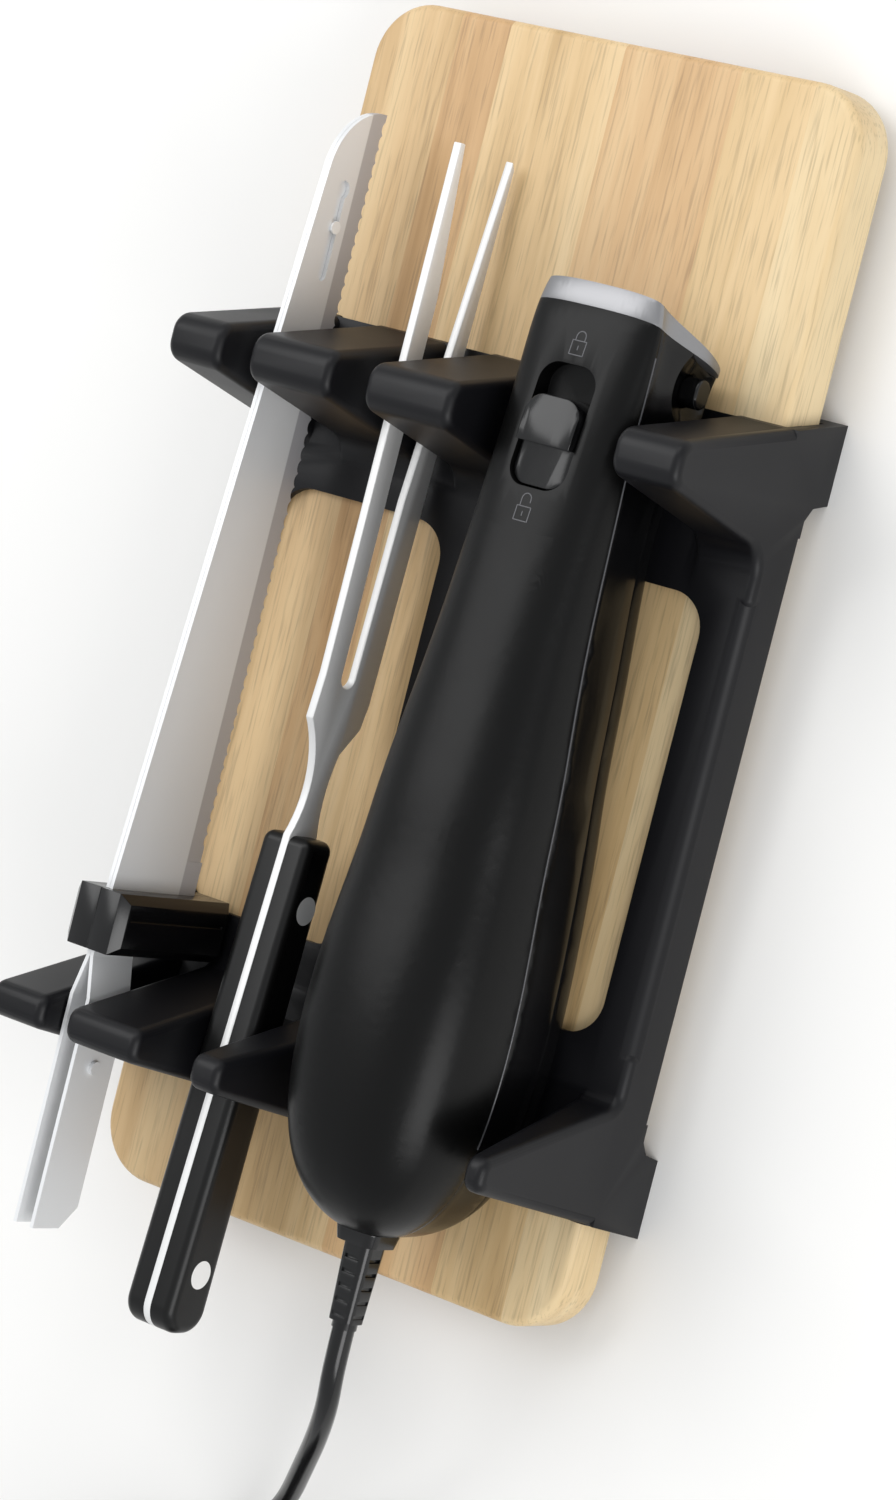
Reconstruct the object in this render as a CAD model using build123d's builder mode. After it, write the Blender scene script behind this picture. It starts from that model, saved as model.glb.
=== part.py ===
# Electric carving knife set: wooden board, clip-on storage tray, knife unit with
# its cord, a pair of saw blades and a carving fork, stored together.
# The set lies on its back. +X is right, +Y is up the board, +Z is out of its face,
# z = 0 is the surface it lies on and the origin is the middle of the whole set.
import math
import os

from build123d import *

os.makedirs("parts", exist_ok=True)

# Board: 355 x 170 x 17.5 mm, glued from staves
BOARD_L, BOARD_W, BOARD_T = 355.0, 170.0, 17.5
BOARD_Y = 15.0
BOARD_CORNER_R = 18.0
BOARD_EDGE_R = 2.5
STAVE_EDGES = (-85.0, -56.0, -38.5, 2.0, 42.0, 67.0, 85.0)
BACK_Z = 6.0
FACE_Z = BACK_Z + BOARD_T

# Tray: one moulding that clips over the board's two long edges
GAP = 0.3
TRAY_HALF = 89.5
PLATE_T = 2.5
PLATE_Z = FACE_Z + GAP
PLATE_TOP = PLATE_Z + PLATE_T
TRAY_TOP_Y, TRAY_LOW_Y = 98.4, -127.6
RAIL_BACK_Z = 9.8
RAIL_SHOULDER_R = 5.0
LIP_Z = BACK_Z - GAP
LIP_REACH = 11.0
UPPER_TIP_Z, LOWER_TIP_Z = 78.0, 84.5
FINGER_ROOT_Z = 17.0
FINGER_EDGE_R = 2.8
UPPER_ROOT_R, LOWER_ROOT_R = 9.0, 4.5
UPPER_TIP_R, LOWER_TIP_R = 5.8, 4.2
WINDOW_W, WINDOW_L, WINDOW_R = 61.0, 126.0, 11.0
WINDOW_X, WINDOW_Y = 45.5, -15.0
SADDLE_Z = 42.0

# Storage places across the tray
BLADE_X = -65.0
FORK_X = -24.0
KNIFE_X = 40.0

# Knife housing: stations along Y as (y, half width, crown height, depth, low half width)
SEAM_Z = 58.0
BASE_SEAM_Z = 39.5
WALL = 2.2
STATIONS = (
    (128.0, 16.6, 3.4, 30.4, 26.0),
    (116.0, 20.5, 5.6, 30.4, 26.0),
    (100.0, 21.0, 8.0, 30.0, 24.6),
    (72.0, 21.3, 11.8, 28.6, 20.2),
    (41.0, 22.3, 16.0, 28.6, 20.2),
    (8.0, 24.5, 20.2, 29.4, 22.6),
    (-26.0, 27.2, 24.4, 30.4, 25.4),
    (-60.0, 29.6, 28.2, 31.0, 28.0),
    (-90.0, 30.5, 30.6, 31.0, 28.6),
    (-115.0, 28.0, 28.6, 29.6, 26.2),
    (-132.0, 21.4, 22.4, 24.6, 20.0),
    (-140.0, 14.2, 15.2, 18.0, 13.4),
    (-143.5, 8.0, 8.6, 11.4, 7.6),
)
CROWN_POWER = 2.5
SECTION_STEPS = 10

# Nose: sloping front face, silver collar behind it, socket for the blade tangs
NOSE_FRONT = ((126.0, 66.0), (107.0, 27.0))
NOSE_BACK = ((118.4, 66.0), (106.2, 27.0))
SOCKET_W, SOCKET_Z0, SOCKET_Z1 = 10.0, 37.0, 57.0

# Lock slider on the back of the handle, travel 9 mm
RECESS_W, RECESS_Y0, RECESS_Y1, RECESS_R = 19.0, 66.0, 101.0, 6.0
RECESS_FLOOR_Z = 60.2
SLIDER_W, SLIDER_Y0, SLIDER_Y1, SLIDER_STEP_Y = 18.0, 66.5, 91.5, 78.0
SLIDER_RISE, SLIDER_SINK, SLIDER_TRAVEL = 2.4, 1.4, 9.0
STEM_L, STEM_W, STEM_BACK = 9.0, 4.4, 10.0

# Release buttons, one on each side, travel 3 mm
BUTTON_Y, BUTTON_Z = 101.5, 38.5
BUTTON_L, BUTTON_H = 8.6, 6.6
SCOOP_R, SCOOP_DEPTH = 19.0, 3.4
BUTTON_FACE_X = 25.6

# Trigger under the handle, travel 3 mm
TRIGGER_Y0, TRIGGER_Y1, TRIGGER_W = 57.0, 87.0, 13.0
TRIGGER_Y = (TRIGGER_Y0 + TRIGGER_Y1) / 2
TRIGGER_LOW_Z, FLANGE_Z, FLANGE_T = 27.0, 32.4, 1.2
TAB_X, TAB_Y, TAB_W = KNIFE_X + 9.4, TRIGGER_Y, 6.4
SWITCH_X1, SWITCH_Z0, SWITCH_Z1 = KNIFE_X + 15.4, 43.0, 54.0
SPRING_R, SPRING_WIRE, SPRING_TURNS = 2.6, 0.5, 4.5

# Motor and drive
MOTOR_Z = 60.0
CAN_R, CAN_Y0, CAN_Y1, CAN_WALL = 20.0, -107.0, -52.0, 1.2
SHAFT_R = 2.0
GEAR_Y, GEAR_Z = 15.0, 44.0
GEAR_TEETH, GEAR_MODULE, GEAR_W = 24, 1.0, 5.0
WORM_R = MOTOR_Z - GEAR_Z - GEAR_TEETH * GEAR_MODULE / 2
WORM_PITCH = math.pi * GEAR_MODULE
WORM_L = 8 * WORM_PITCH
WORM_Y0 = GEAR_Y - WORM_L / 2
PIN_THROW, PIN_R = 5.0, 1.5
AXLE_R = 1.5
RUN = 0.05

CRADLES = (-100.0, -60.0)
FRAME_Y0, FRAME_Y1, FRAME_Z0, FRAME_Z1 = -21.0, 33.5, 34.0, 67.0
FRAME_HALF, FRAME_T = 10.0, 2.0
FRAME_FEET = (-12.0, 26.0)
FOOT_R = 2.4

# Screws that hold the base cover up to the top cover, through the middle housing
SCREWS = ((25.4, 42.0), (54.6, 42.0), (24.0, -119.0), (56.0, -119.0))
SCREW_R, HEAD_R, POST_R = 1.4, 2.6, 3.3
SCREW_SEAT_Z, SCREW_TIP_Z = 34.0, 53.0

# Blades
BLADE_T = 1.2
BLADE_TIP_Y, BLADE_HEEL_Y = 157.5, -79.0
BLADE_EDGE_Z = 36.0
TANG_Y = -175.0
TANG_Z0, TANG_Z1 = 57.0, 76.0
SERRATION_PITCH, SERRATION_R = 4.0, 2.3
BLADE_GAP = 0.1
SPINE_HEEL_Z, SPINE_TIP_Y, SPINE_TIP_Z = 75.2, 138.0, 57.0
BEVEL_H, BEVEL_DEPTH = 7.5, 0.75
GUARD_Y0, GUARD_Y1 = -93.0, -75.0
GUARD_HALF, GUARD_Z0, GUARD_Z1 = 10.0, 26.7, 77.4
GUARD_CHAMFER = 2.6
TANG_BEND_Y0, TANG_BEND_Y1, TANG_SPLAY = -95.0, -107.0, 2.5
KEYHOLE_Y0, KEYHOLE_Y1 = 108.5, 133.5
BLADE_RIVET_Y, BLADE_RIVET_Z, BLADE_RIVET_R = 122.5, 48.5, 1.9
STROKE = 4.1

# Fork
FORK_T = 2.6
FORK_SCALE_T = 7.5
FORK_HANDLE = ((-47.0, 40.4), (-47.0, 53.2), (-192.5, 63.6), (-192.5, 46.0))
FORK_SCALE_EDGE_R = 3.2
FORK_RIVET_R = 4.2
FORK_RIVETS = ((-67.0, 47.2), (-174.5, 53.4))

# Cord
CORD_D = 6.4
CORD_Z = SEAM_Z
RELIEF_NECK = 8.0
RELIEF_Y0, RELIEF_BLOCK_Y, RELIEF_Y1 = -172.0, -147.5, -143.5
CORD_ROUTE = ((40.0, -172.0, 58.0), (40.0, -184.0, 58.0), (38.0, -195.5, 53.5), (31.0, -207.5, 44.5),
              (20.0, -220.5, 31.5), (7.0, -235.5, 16.0), (-8.0, -251.5, 6.2), (-20.3, -264.6, 4.6),
              (-32.8, -278.0, 4.6))
COIL_R, COIL_STEP, COIL_CLIMB = 41.0, 8.2, 8.0
COIL_LAYERS, COIL_TURNS = 4, 3
TIE_L, TIE_T, TIE_GAP = 8.0, 0.8, 0.4
TAIL_STEPS = ((16.0, 0.0, 0.0), (31.0, 0.0, -5.0), (46.0, 4.0, -14.0), (61.0, 11.0, -21.0),
              (75.0, 22.0, -23.6), (87.0, 36.0, -23.6))

nodes = {}


def keep(builder, name):
    """Label a finished piece and write it as its own file."""
    builder.part.label = name
    export_step(builder.part, f"parts/{name}.step")
    nodes[name] = builder.part


def across(y):
    """Plane that cuts the set at y, with its x along X and its y along Z."""
    return Plane.XZ.offset(-y)


# Board
with BuildPart() as board:
    with BuildSketch(Plane.XY.offset(BACK_Z)):
        with Locations((0, BOARD_Y)):
            RectangleRounded(BOARD_W, BOARD_L, BOARD_CORNER_R)
    extrude(amount=BOARD_T)
    fillet(board.faces().filter_by(Axis.Z).edges(), BOARD_EDGE_R)

for number, (left, right) in enumerate(zip(STAVE_EDGES, STAVE_EDGES[1:]), 1):
    with BuildPart() as stave:
        add(board.part)
        with Locations(((left + right) / 2, BOARD_Y, BACK_Z + BOARD_T / 2)):
            Box(right - left, BOARD_L + 2, BOARD_T + 2, mode=Mode.INTERSECT)
    keep(stave, f"board_stave_{number}")


# Storage tray
def finger(outline, root_corner, tip_r, root_r, low, high):
    """One tray finger: a side outline in Y and Z, trimmed to a front outline.

    low and high are the finger's X limits at its root and at its tip.
    """
    tip_z = max(z for y, z in outline)
    with BuildPart() as body:
        with BuildSketch(Plane.YZ.offset(-TRAY_HALF)) as side:
            with BuildLine():
                Polyline(*outline, close=True)
            make_face()
            fillet(side.vertices().group_by(Axis.Y)[-1], tip_r)
            fillet(side.vertices().sort_by_distance(Vertex(*root_corner, 0))[0], root_r)
        extrude(amount=2 * TRAY_HALF)
        with BuildSketch(across(TRAY_TOP_Y + 20)):
            with BuildLine():
                Polyline((low[0], FINGER_ROOT_Z - 1), (low[1], FINGER_ROOT_Z - 1),
                         (high[1], tip_z + 1), (high[0], tip_z + 1), close=True)
            make_face()
        extrude(amount=TRAY_TOP_Y - TRAY_LOW_Y + 60, mode=Mode.INTERSECT)
        rounded = body.edges().filter_by_position(
            Axis.Z, FINGER_ROOT_Z + 0.5, tip_z + 1, inclusive=(True, True))
        fillet(rounded.filter_by(lambda e: e.center().Z > FINGER_ROOT_Z + 1), FINGER_EDGE_R)
    return body.part


UPPER_OUTLINE = ((100.2, FINGER_ROOT_Z), (88.2, UPPER_TIP_Z), (75.8, UPPER_TIP_Z),
                 (64.0, PLATE_TOP), (48.0, PLATE_TOP), (48.0, FINGER_ROOT_Z))
LOWER_OUTLINE = ((-128.6, FINGER_ROOT_Z), (-118.6, LOWER_TIP_Z), (-109.4, LOWER_TIP_Z),
                 (-93.6, PLATE_TOP), (-78.0, PLATE_TOP), (-78.0, FINGER_ROOT_Z))
UPPER_FINGERS = (((-89.5, -70.2), (-89.5, -70.2)), ((-59.8, -30.2), (-59.8, -30.2)),
                 ((-17.8, 12.6), (-17.8, 12.6)), ((67.4, 89.5), (67.4, 89.5)))
LOWER_FINGERS = (((-89.5, -69.4), (-89.5, -69.4)), ((-60.6, -33.8), (-60.6, -33.8)),
                 ((-14.2, 6.0), (-14.2, -4.0)), ((74.0, 89.5), (83.0, 89.5)))
UPPER_HOOK = ((103.4, 0), (98.6, 24.5), (70.0, 24.5), (70.0, RAIL_BACK_Z),
              (75.0, RAIL_BACK_Z), (78.8, 7.0), (80.4, 0))
LOWER_HOOK = ((-131.0, 0), (-127.6, 24.5), (-98.0, 24.5), (-98.0, RAIL_BACK_Z),
              (-103.0, RAIL_BACK_Z), (-106.6, 7.0), (-108.2, 0))

finger_parts = [finger(UPPER_OUTLINE, (64.0, PLATE_TOP), UPPER_TIP_R, UPPER_ROOT_R, low, high)
                for low, high in UPPER_FINGERS]
finger_parts += [finger(LOWER_OUTLINE, (-93.6, PLATE_TOP), LOWER_TIP_R, LOWER_ROOT_R, low, high)
                 for low, high in LOWER_FINGERS]

with BuildPart() as storage_tray:
    # plate with rounded side rails, swept up the board
    with BuildSketch(across(TRAY_TOP_Y)) as rails:
        with BuildLine():
            Polyline((-TRAY_HALF, RAIL_BACK_Z), (TRAY_HALF, RAIL_BACK_Z),
                     (TRAY_HALF, PLATE_TOP), (-TRAY_HALF, PLATE_TOP), close=True)
        make_face()
        fillet(rails.vertices().group_by(Axis.Y)[-1], RAIL_SHOULDER_R)
        fillet(rails.vertices().group_by(Axis.Y)[0], 1.2)
    extrude(amount=TRAY_TOP_Y - TRAY_LOW_Y)
    for part in finger_parts:
        add(part)
    # hooks at the four corners
    for outline in (UPPER_HOOK, LOWER_HOOK):
        for x in (-TRAY_HALF, BOARD_W / 2 - LIP_REACH):
            with BuildSketch(Plane.YZ.offset(x)):
                with BuildLine():
                    Polyline(*outline, close=True)
                make_face()
            extrude(amount=TRAY_HALF - BOARD_W / 2 + LIP_REACH)
    # saddle under the fork's handle
    with Locations((FORK_X, -109.0, (PLATE_Z + SADDLE_Z) / 2)):
        Box(22, 15, SADDLE_Z - PLATE_Z)
    # the board's channel
    with Locations((0, BOARD_Y, (LIP_Z + PLATE_Z) / 2)):
        Box(BOARD_W + 2 * GAP, BOARD_L + 40, PLATE_Z - LIP_Z, mode=Mode.SUBTRACT)
    # two windows that show the board
    with BuildSketch(Plane.XY.offset(FACE_Z)):
        with Locations((-WINDOW_X, WINDOW_Y), (WINDOW_X, WINDOW_Y)):
            RectangleRounded(WINDOW_W, WINDOW_L, WINDOW_R)
    extrude(amount=PLATE_T + 4, mode=Mode.SUBTRACT)
keep(storage_tray, "storage_tray")


# Knife housing
def crown(y, half, height, depth, low_half):
    """Section points above the seam, a rounded crown from side to side."""
    turns = [math.pi * step / SECTION_STEPS for step in range(SECTION_STEPS + 1)]
    power = 2 / CROWN_POWER
    return [(KNIFE_X - half * math.copysign(abs(math.cos(a)) ** power, math.cos(a)),
             SEAM_Z + height * math.sin(a) ** power) for a in turns]


def keel(y, half, height, depth, low_half):
    """Section points below the seam: sides that lean to the low width, flat belly."""
    side = ((half, 0.0), (half + 0.5 * (low_half - half), 0.38), (low_half, 0.72),
            (0.93 * low_half, 0.91), (0.66 * low_half, 0.99))
    right = [(x, -share * depth) for x, share in side]
    points = [(-x, z) for x, z in right] + [(0.0, -depth)] + right[::-1]
    return [(KNIFE_X + x, SEAM_Z + z) for x, z in points]


def inset(stations, wall):
    """The same stations moved in by the wall, without the two end ones."""
    return [(y, half - wall, height - wall, depth - wall, low_half - wall)
            for y, half, height, depth, low_half in stations
            if STATIONS[-1][0] < y < STATIONS[1][0]]


def housing_loft(stations, outline):
    """Loft through the section outline at each station."""
    with BuildPart() as body:
        for station in stations:
            points = outline(*station)
            with BuildSketch(across(station[0])):
                with BuildLine():
                    Spline(*points)
                    Line(points[-1], points[0])
                make_face()
        loft()
    return body.part


def wedge(front, back, reach=60.0):
    """Slab between two sloping planes that both run along X, given by Y and Z pairs."""
    with BuildPart() as body:
        with BuildSketch(Plane.YZ.offset(KNIFE_X - reach)):
            with BuildLine():
                Polyline(*front, *reversed(back), close=True)
            make_face()
        extrude(amount=2 * reach)
    return body.part


upper_outer = housing_loft(STATIONS, crown)
upper_inner = housing_loft(inset(STATIONS, WALL), crown)
lower_outer = housing_loft(STATIONS, keel)
lower_inner = housing_loft(inset(STATIONS, WALL), keel)
nose_slope = tuple((y + 60, z) for y, z in NOSE_BACK)

with BuildPart() as nose_collar:
    add(upper_outer)
    add(lower_outer)
    add(wedge(NOSE_FRONT, NOSE_BACK), mode=Mode.INTERSECT)
    with Locations((KNIFE_X, BUTTON_Y, (SOCKET_Z0 + SOCKET_Z1) / 2)):
        Box(SOCKET_W + 4, 80, SOCKET_Z1 - SOCKET_Z0 + 2, mode=Mode.SUBTRACT)
keep(nose_collar, "nose_collar")


def screw_posts(seam, outer):
    """Four screw posts that run down from a cover to the base cover's seam."""
    with BuildPart() as posts:
        with Locations(*[(x, y, seam) for x, y in SCREWS]):
            Cylinder(POST_R, 60, align=(Align.CENTER, Align.CENTER, Align.MIN))
        add(outer, mode=Mode.INTERSECT)
        with Locations(*[(x, y, seam) for x, y in SCREWS]):
            Cylinder(POST_R, seam - BASE_SEAM_Z, align=(Align.CENTER, Align.CENTER, Align.MAX))
    return posts.part


RECESS_Y = (RECESS_Y0 + RECESS_Y1) / 2
RECESS_L = RECESS_Y1 - RECESS_Y0
with BuildPart() as recess_block:
    with Locations((KNIFE_X, RECESS_Y, RECESS_FLOOR_Z + 9)):
        Box(RECESS_W + 2 * WALL, RECESS_L + 2 * WALL, 21)
    add(upper_outer, mode=Mode.INTERSECT)

with BuildPart() as top_cover:
    add(upper_outer)
    add(upper_inner, mode=Mode.SUBTRACT)
    add(recess_block.part)
    add(wedge(nose_slope, NOSE_BACK), mode=Mode.SUBTRACT)
    with Locations((KNIFE_X, 108, (SOCKET_Z0 + SOCKET_Z1) / 2)):
        Box(SOCKET_W, 40, SOCKET_Z1 - SOCKET_Z0, mode=Mode.SUBTRACT)
    # recess for the slider, with a slot in its floor for the slider's stem
    with BuildSketch(Plane.XY.offset(RECESS_FLOOR_Z)):
        with Locations((KNIFE_X, RECESS_Y)):
            RectangleRounded(RECESS_W, RECESS_L, RECESS_R)
    extrude(amount=30, mode=Mode.SUBTRACT)
    with BuildSketch(Plane.XY.offset(SEAM_Z - 1)):
        with Locations((KNIFE_X, SLIDER_Y0 + STEM_BACK + SLIDER_TRAVEL / 2)):
            Rectangle(STEM_W + 0.6, STEM_L + SLIDER_TRAVEL + 0.8)
    extrude(amount=4, mode=Mode.SUBTRACT)
    add(screw_posts(SEAM_Z, upper_outer))
    with Locations(*[(x, y, BASE_SEAM_Z) for x, y in SCREWS]):
        Cylinder(SCREW_R + RUN, SCREW_TIP_Z - BASE_SEAM_Z, mode=Mode.SUBTRACT,
                 align=(Align.CENTER, Align.CENTER, Align.MIN))
    with BuildSketch(across(-150)):
        with Locations((KNIFE_X, CORD_Z)):
            Rectangle(RELIEF_NECK, RELIEF_NECK)
    extrude(amount=-30, mode=Mode.SUBTRACT)
keep(top_cover, "top_cover")

# pads behind the two round scoops that hold the release buttons
with BuildPart() as button_pads:
    for side in (-1, 1):
        with Locations((KNIFE_X + side * 19.5, BUTTON_Y, BUTTON_Z)):
            Box(15, 27, 25)
    add(lower_outer, mode=Mode.INTERSECT)

# rib that carries the switch
with BuildPart() as switch_rib:
    with Locations((SWITCH_X1, TAB_Y, (SWITCH_Z0 + SWITCH_Z1) / 2)):
        Box(12, 12, SWITCH_Z1 - SWITCH_Z0 - 3, align=(Align.MIN, Align.CENTER, Align.CENTER))
    add(lower_outer, mode=Mode.INTERSECT)

SIDE_HALF = 22.9
with BuildPart() as lower_body:
    add(lower_outer)
    add(lower_inner, mode=Mode.SUBTRACT)
    add(button_pads.part)
    add(switch_rib.part)
    add(wedge(nose_slope, NOSE_BACK), mode=Mode.SUBTRACT)
    with Locations((KNIFE_X, 108, (SOCKET_Z0 + SOCKET_Z1) / 2)):
        Box(SOCKET_W, 40, SOCKET_Z1 - SOCKET_Z0 + 6, mode=Mode.SUBTRACT)
    with Locations((KNIFE_X, 98, 45)):
        Box(23.8, 18.4, 22, mode=Mode.SUBTRACT)
    for side in (-1, 1):
        with Locations((KNIFE_X + side * (SIDE_HALF + SCOOP_R - SCOOP_DEPTH), BUTTON_Y, BUTTON_Z)):
            Sphere(SCOOP_R, mode=Mode.SUBTRACT)
    with BuildSketch(Plane.YZ.offset(KNIFE_X - 30)):
        with Locations((BUTTON_Y, BUTTON_Z)):
            SlotOverall(BUTTON_L + 0.8, BUTTON_H + 0.8)
    extrude(amount=60, mode=Mode.SUBTRACT)
    # opening for the trigger
    with BuildSketch(Plane.XY.offset(SEAM_Z - 34)):
        with Locations((KNIFE_X, (TRIGGER_Y0 + TRIGGER_Y1) / 2)):
            RectangleRounded(TRIGGER_W + 0.8, TRIGGER_Y1 - TRIGGER_Y0 + 0.8, 4.4)
    extrude(amount=10, mode=Mode.SUBTRACT)
    # way out for the cord's strain relief
    with BuildSketch(across(-150)):
        with Locations((KNIFE_X, CORD_Z)):
            Rectangle(RELIEF_NECK, RELIEF_NECK)
    extrude(amount=-30, mode=Mode.SUBTRACT)

with BuildPart() as mid_housing:
    add(lower_body.part)
    split(bisect_by=Plane.XY.offset(BASE_SEAM_Z), keep=Keep.TOP)
keep(mid_housing, "mid_housing")

# inside the base cover: screw posts, motor cradle and the feet of the gearbox frame
with BuildPart() as base_fittings:
    with Locations(*[(x, y, BASE_SEAM_Z) for x, y in SCREWS]):
        Cylinder(POST_R, 20, align=(Align.CENTER, Align.CENTER, Align.MAX))
    with Locations(*[(KNIFE_X + side * FRAME_HALF, y, FRAME_Z0) for side in (-1, 1) for y in FRAME_FEET]):
        Cylinder(FOOT_R, 20, align=(Align.CENTER, Align.CENTER, Align.MAX))
    with Locations(*[(KNIFE_X, y, MOTOR_Z - 15) for y in CRADLES]):
        Box(26, 3, 30, align=(Align.CENTER, Align.CENTER, Align.MAX))
    add(lower_outer, mode=Mode.INTERSECT)
    with Locations(Location((KNIFE_X, sum(CRADLES) / 2, MOTOR_Z), (90, 0, 0))):
        Cylinder(CAN_R, 80, mode=Mode.SUBTRACT)

with BuildPart() as base_cover:
    add(lower_body.part)
    split(bisect_by=Plane.XY.offset(BASE_SEAM_Z), keep=Keep.BOTTOM)
    add(base_fittings.part)
    with Locations(*[(x, y, SCREW_SEAT_Z) for x, y in SCREWS]):
        Cylinder(HEAD_R + 0.2, 12, mode=Mode.SUBTRACT, align=(Align.CENTER, Align.CENTER, Align.MAX))
        Cylinder(SCREW_R + 0.2, 12, mode=Mode.SUBTRACT, align=(Align.CENTER, Align.CENTER, Align.MIN))
keep(base_cover, "base_cover")


# Lock slider: a raised thumb pad and a sunk tail that follow the handle's crown
def slider_piece(rise, y0, y1):
    """Part of the crown, raised or sunk, between y0 and y1 and as wide as the slider."""
    near = [(y, half, height + rise, depth, low_half)
            for y, half, height, depth, low_half in STATIONS if y > GEAR_Y]
    with BuildPart() as body:
        with BuildSketch(Plane.XY.offset(RECESS_FLOOR_Z + 0.4)):
            with Locations((KNIFE_X, (SLIDER_Y0 + SLIDER_Y1) / 2)):
                RectangleRounded(SLIDER_W, SLIDER_Y1 - SLIDER_Y0, RECESS_R - 0.5)
            with Locations((KNIFE_X, (y0 + y1) / 2)):
                Rectangle(SLIDER_W + 2, y1 - y0, mode=Mode.INTERSECT)
        extrude(amount=20)
        add(housing_loft(near, crown), mode=Mode.INTERSECT)
    return body.part


with BuildPart() as lock_slider:
    add(slider_piece(SLIDER_RISE, SLIDER_STEP_Y, SLIDER_Y1))
    add(slider_piece(-SLIDER_SINK, SLIDER_Y0, SLIDER_STEP_Y))
    with Locations((KNIFE_X, SLIDER_Y0 + STEM_BACK, RECESS_FLOOR_Z + 0.5)):
        Box(STEM_W, STEM_L, 3.3, align=(Align.CENTER, Align.CENTER, Align.MAX))
    with Locations((KNIFE_X, SLIDER_Y0 + STEM_BACK, SEAM_Z + 0.4)):
        Box(STEM_W + 4.6, STEM_L, 1.2, align=(Align.CENTER, Align.CENTER, Align.MAX))
keep(lock_slider, "lock_slider")

# Trigger: a pad with a flange that keeps it in, and a tab that works the switch
with BuildPart() as trigger:
    with BuildSketch(Plane.XY.offset(TRIGGER_LOW_Z)):
        with Locations((KNIFE_X, TRIGGER_Y)):
            RectangleRounded(TRIGGER_W, TRIGGER_Y1 - TRIGGER_Y0, 4.0)
    extrude(amount=FLANGE_Z - TRIGGER_LOW_Z)
    fillet(trigger.faces().sort_by(Axis.Z)[0].edges(), 1.6)
    with Locations((KNIFE_X, TRIGGER_Y, FLANGE_Z)):
        Box(TRIGGER_W + 3, TRIGGER_Y1 - TRIGGER_Y0 + 4, FLANGE_T,
            align=(Align.CENTER, Align.CENTER, Align.MIN))
    with Locations((TAB_X, TAB_Y, FLANGE_Z)):
        Box(TAB_W, 22, FLANGE_T, align=(Align.CENTER, Align.CENTER, Align.MIN))
keep(trigger, "trigger")

# Release buttons: an oblong stem with a wide foot inside the housing
for side, name in ((-1, "release_button_left"), (1, "release_button_right")):
    with BuildPart() as button:
        with BuildSketch(Plane.YZ.offset(KNIFE_X + side * 10.6)):
            with Locations((BUTTON_Y, BUTTON_Z)):
                SlotOverall(BUTTON_L + 1.6, BUTTON_H + 1.6)
        extrude(amount=side * 1.2)
        with BuildSketch(Plane.YZ.offset(KNIFE_X + side * 10.6)):
            with Locations((BUTTON_Y, BUTTON_Z)):
                SlotOverall(BUTTON_L, BUTTON_H)
        extrude(amount=side * (BUTTON_FACE_X - 10.6))
        fillet(button.faces().sort_by(Axis.X)[-1 if side > 0 else 0].edges(), 0.7)
    keep(button, name)

# Trigger spring and switch

def coil_spring(x, y, low, high, radius, wire, turns):
    """Round compression spring between two heights."""
    with BuildPart() as body:
        with BuildLine():
            path = Helix(pitch=(high - low - 2 * wire) / turns, height=high - low - 2 * wire,
                         radius=radius, center=(x, y, low + wire))
        with BuildSketch(Plane(path @ 0, x_dir=(1, 0, 0), z_dir=path % 0)):
            RegularPolygon(wire, 6)
        sweep(path=path, is_frenet=True)
    return body


trigger_spring = coil_spring(TAB_X, TAB_Y - 6, FLANGE_Z + FLANGE_T, SWITCH_Z0,
                             SPRING_R, SPRING_WIRE, SPRING_TURNS)
keep(trigger_spring, "trigger_spring")

with BuildPart() as switch_body:
    with Locations((SWITCH_X1, TAB_Y, SWITCH_Z0)):
        Box(9.4, 22, SWITCH_Z1 - SWITCH_Z0, align=(Align.MAX, Align.CENTER, Align.MIN))
    chamfer(switch_body.edges().filter_by(Axis.Z), 0.8)
    with Locations((TAB_X, TAB_Y + 5, SWITCH_Z0)):
        Cylinder(1.6, 6.2, align=(Align.CENTER, Align.CENTER, Align.MAX))
keep(switch_body, "switch_body")

# Motor
along_y = (90, 0, 0)


def ring(y0, y1, outer_r, inner_r, z=MOTOR_Z):
    """Round sleeve along Y between y0 and y1 on the motor's axis."""
    with BuildPart() as body:
        with BuildSketch(across(y0)):
            with Locations((KNIFE_X, z)):
                Circle(outer_r)
                if inner_r:
                    Circle(inner_r, mode=Mode.SUBTRACT)
        extrude(amount=-(y1 - y0))
    return body


with BuildPart() as motor_can:
    add(ring(CAN_Y0, CAN_Y1, CAN_R, 0).part)
    add(ring(CAN_Y0 - 1, CAN_Y1 - CAN_WALL, CAN_R - CAN_WALL, 0).part, mode=Mode.SUBTRACT)
    add(ring(CAN_Y1 - 2, CAN_Y1 + 1, 6.0, 0).part, mode=Mode.SUBTRACT)
    with BuildSketch(across(CAN_Y1 + 1)):
        with Locations((KNIFE_X, MOTOR_Z)):
            with PolarLocations(12.5, 6):
                SlotOverall(8, 3.4, rotation=90)
    extrude(amount=4, mode=Mode.SUBTRACT)
keep(motor_can, "motor_can")

MAGNET_R0, MAGNET_R1 = 15.0, CAN_R - CAN_WALL
with BuildPart() as motor_magnets:
    add(ring(-98, -60, MAGNET_R1, MAGNET_R0).part)
    with Locations((KNIFE_X, -79, MOTOR_Z)):
        Box(16, 60, 60, mode=Mode.SUBTRACT)
keep(motor_magnets, "motor_magnets")

with BuildPart() as motor_end_cap:
    add(ring(CAN_Y0 - 4, CAN_Y0, CAN_R, 4.5).part)
    add(ring(CAN_Y0, CAN_Y0 + 3, CAN_R - CAN_WALL - 0.1, CAN_R - 5).part)
    add(ring(CAN_Y0 - 9, CAN_Y0 - 4, 7.0, 4.5).part)
    # brush holders
    with Locations(*[(KNIFE_X + side * 12.4, -103.0, MOTOR_Z) for side in (-1, 1)]):
        Box(6, 9, 7.4)
        Box(8, 4, 4.6, mode=Mode.SUBTRACT)
keep(motor_end_cap, "motor_end_cap")

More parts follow.
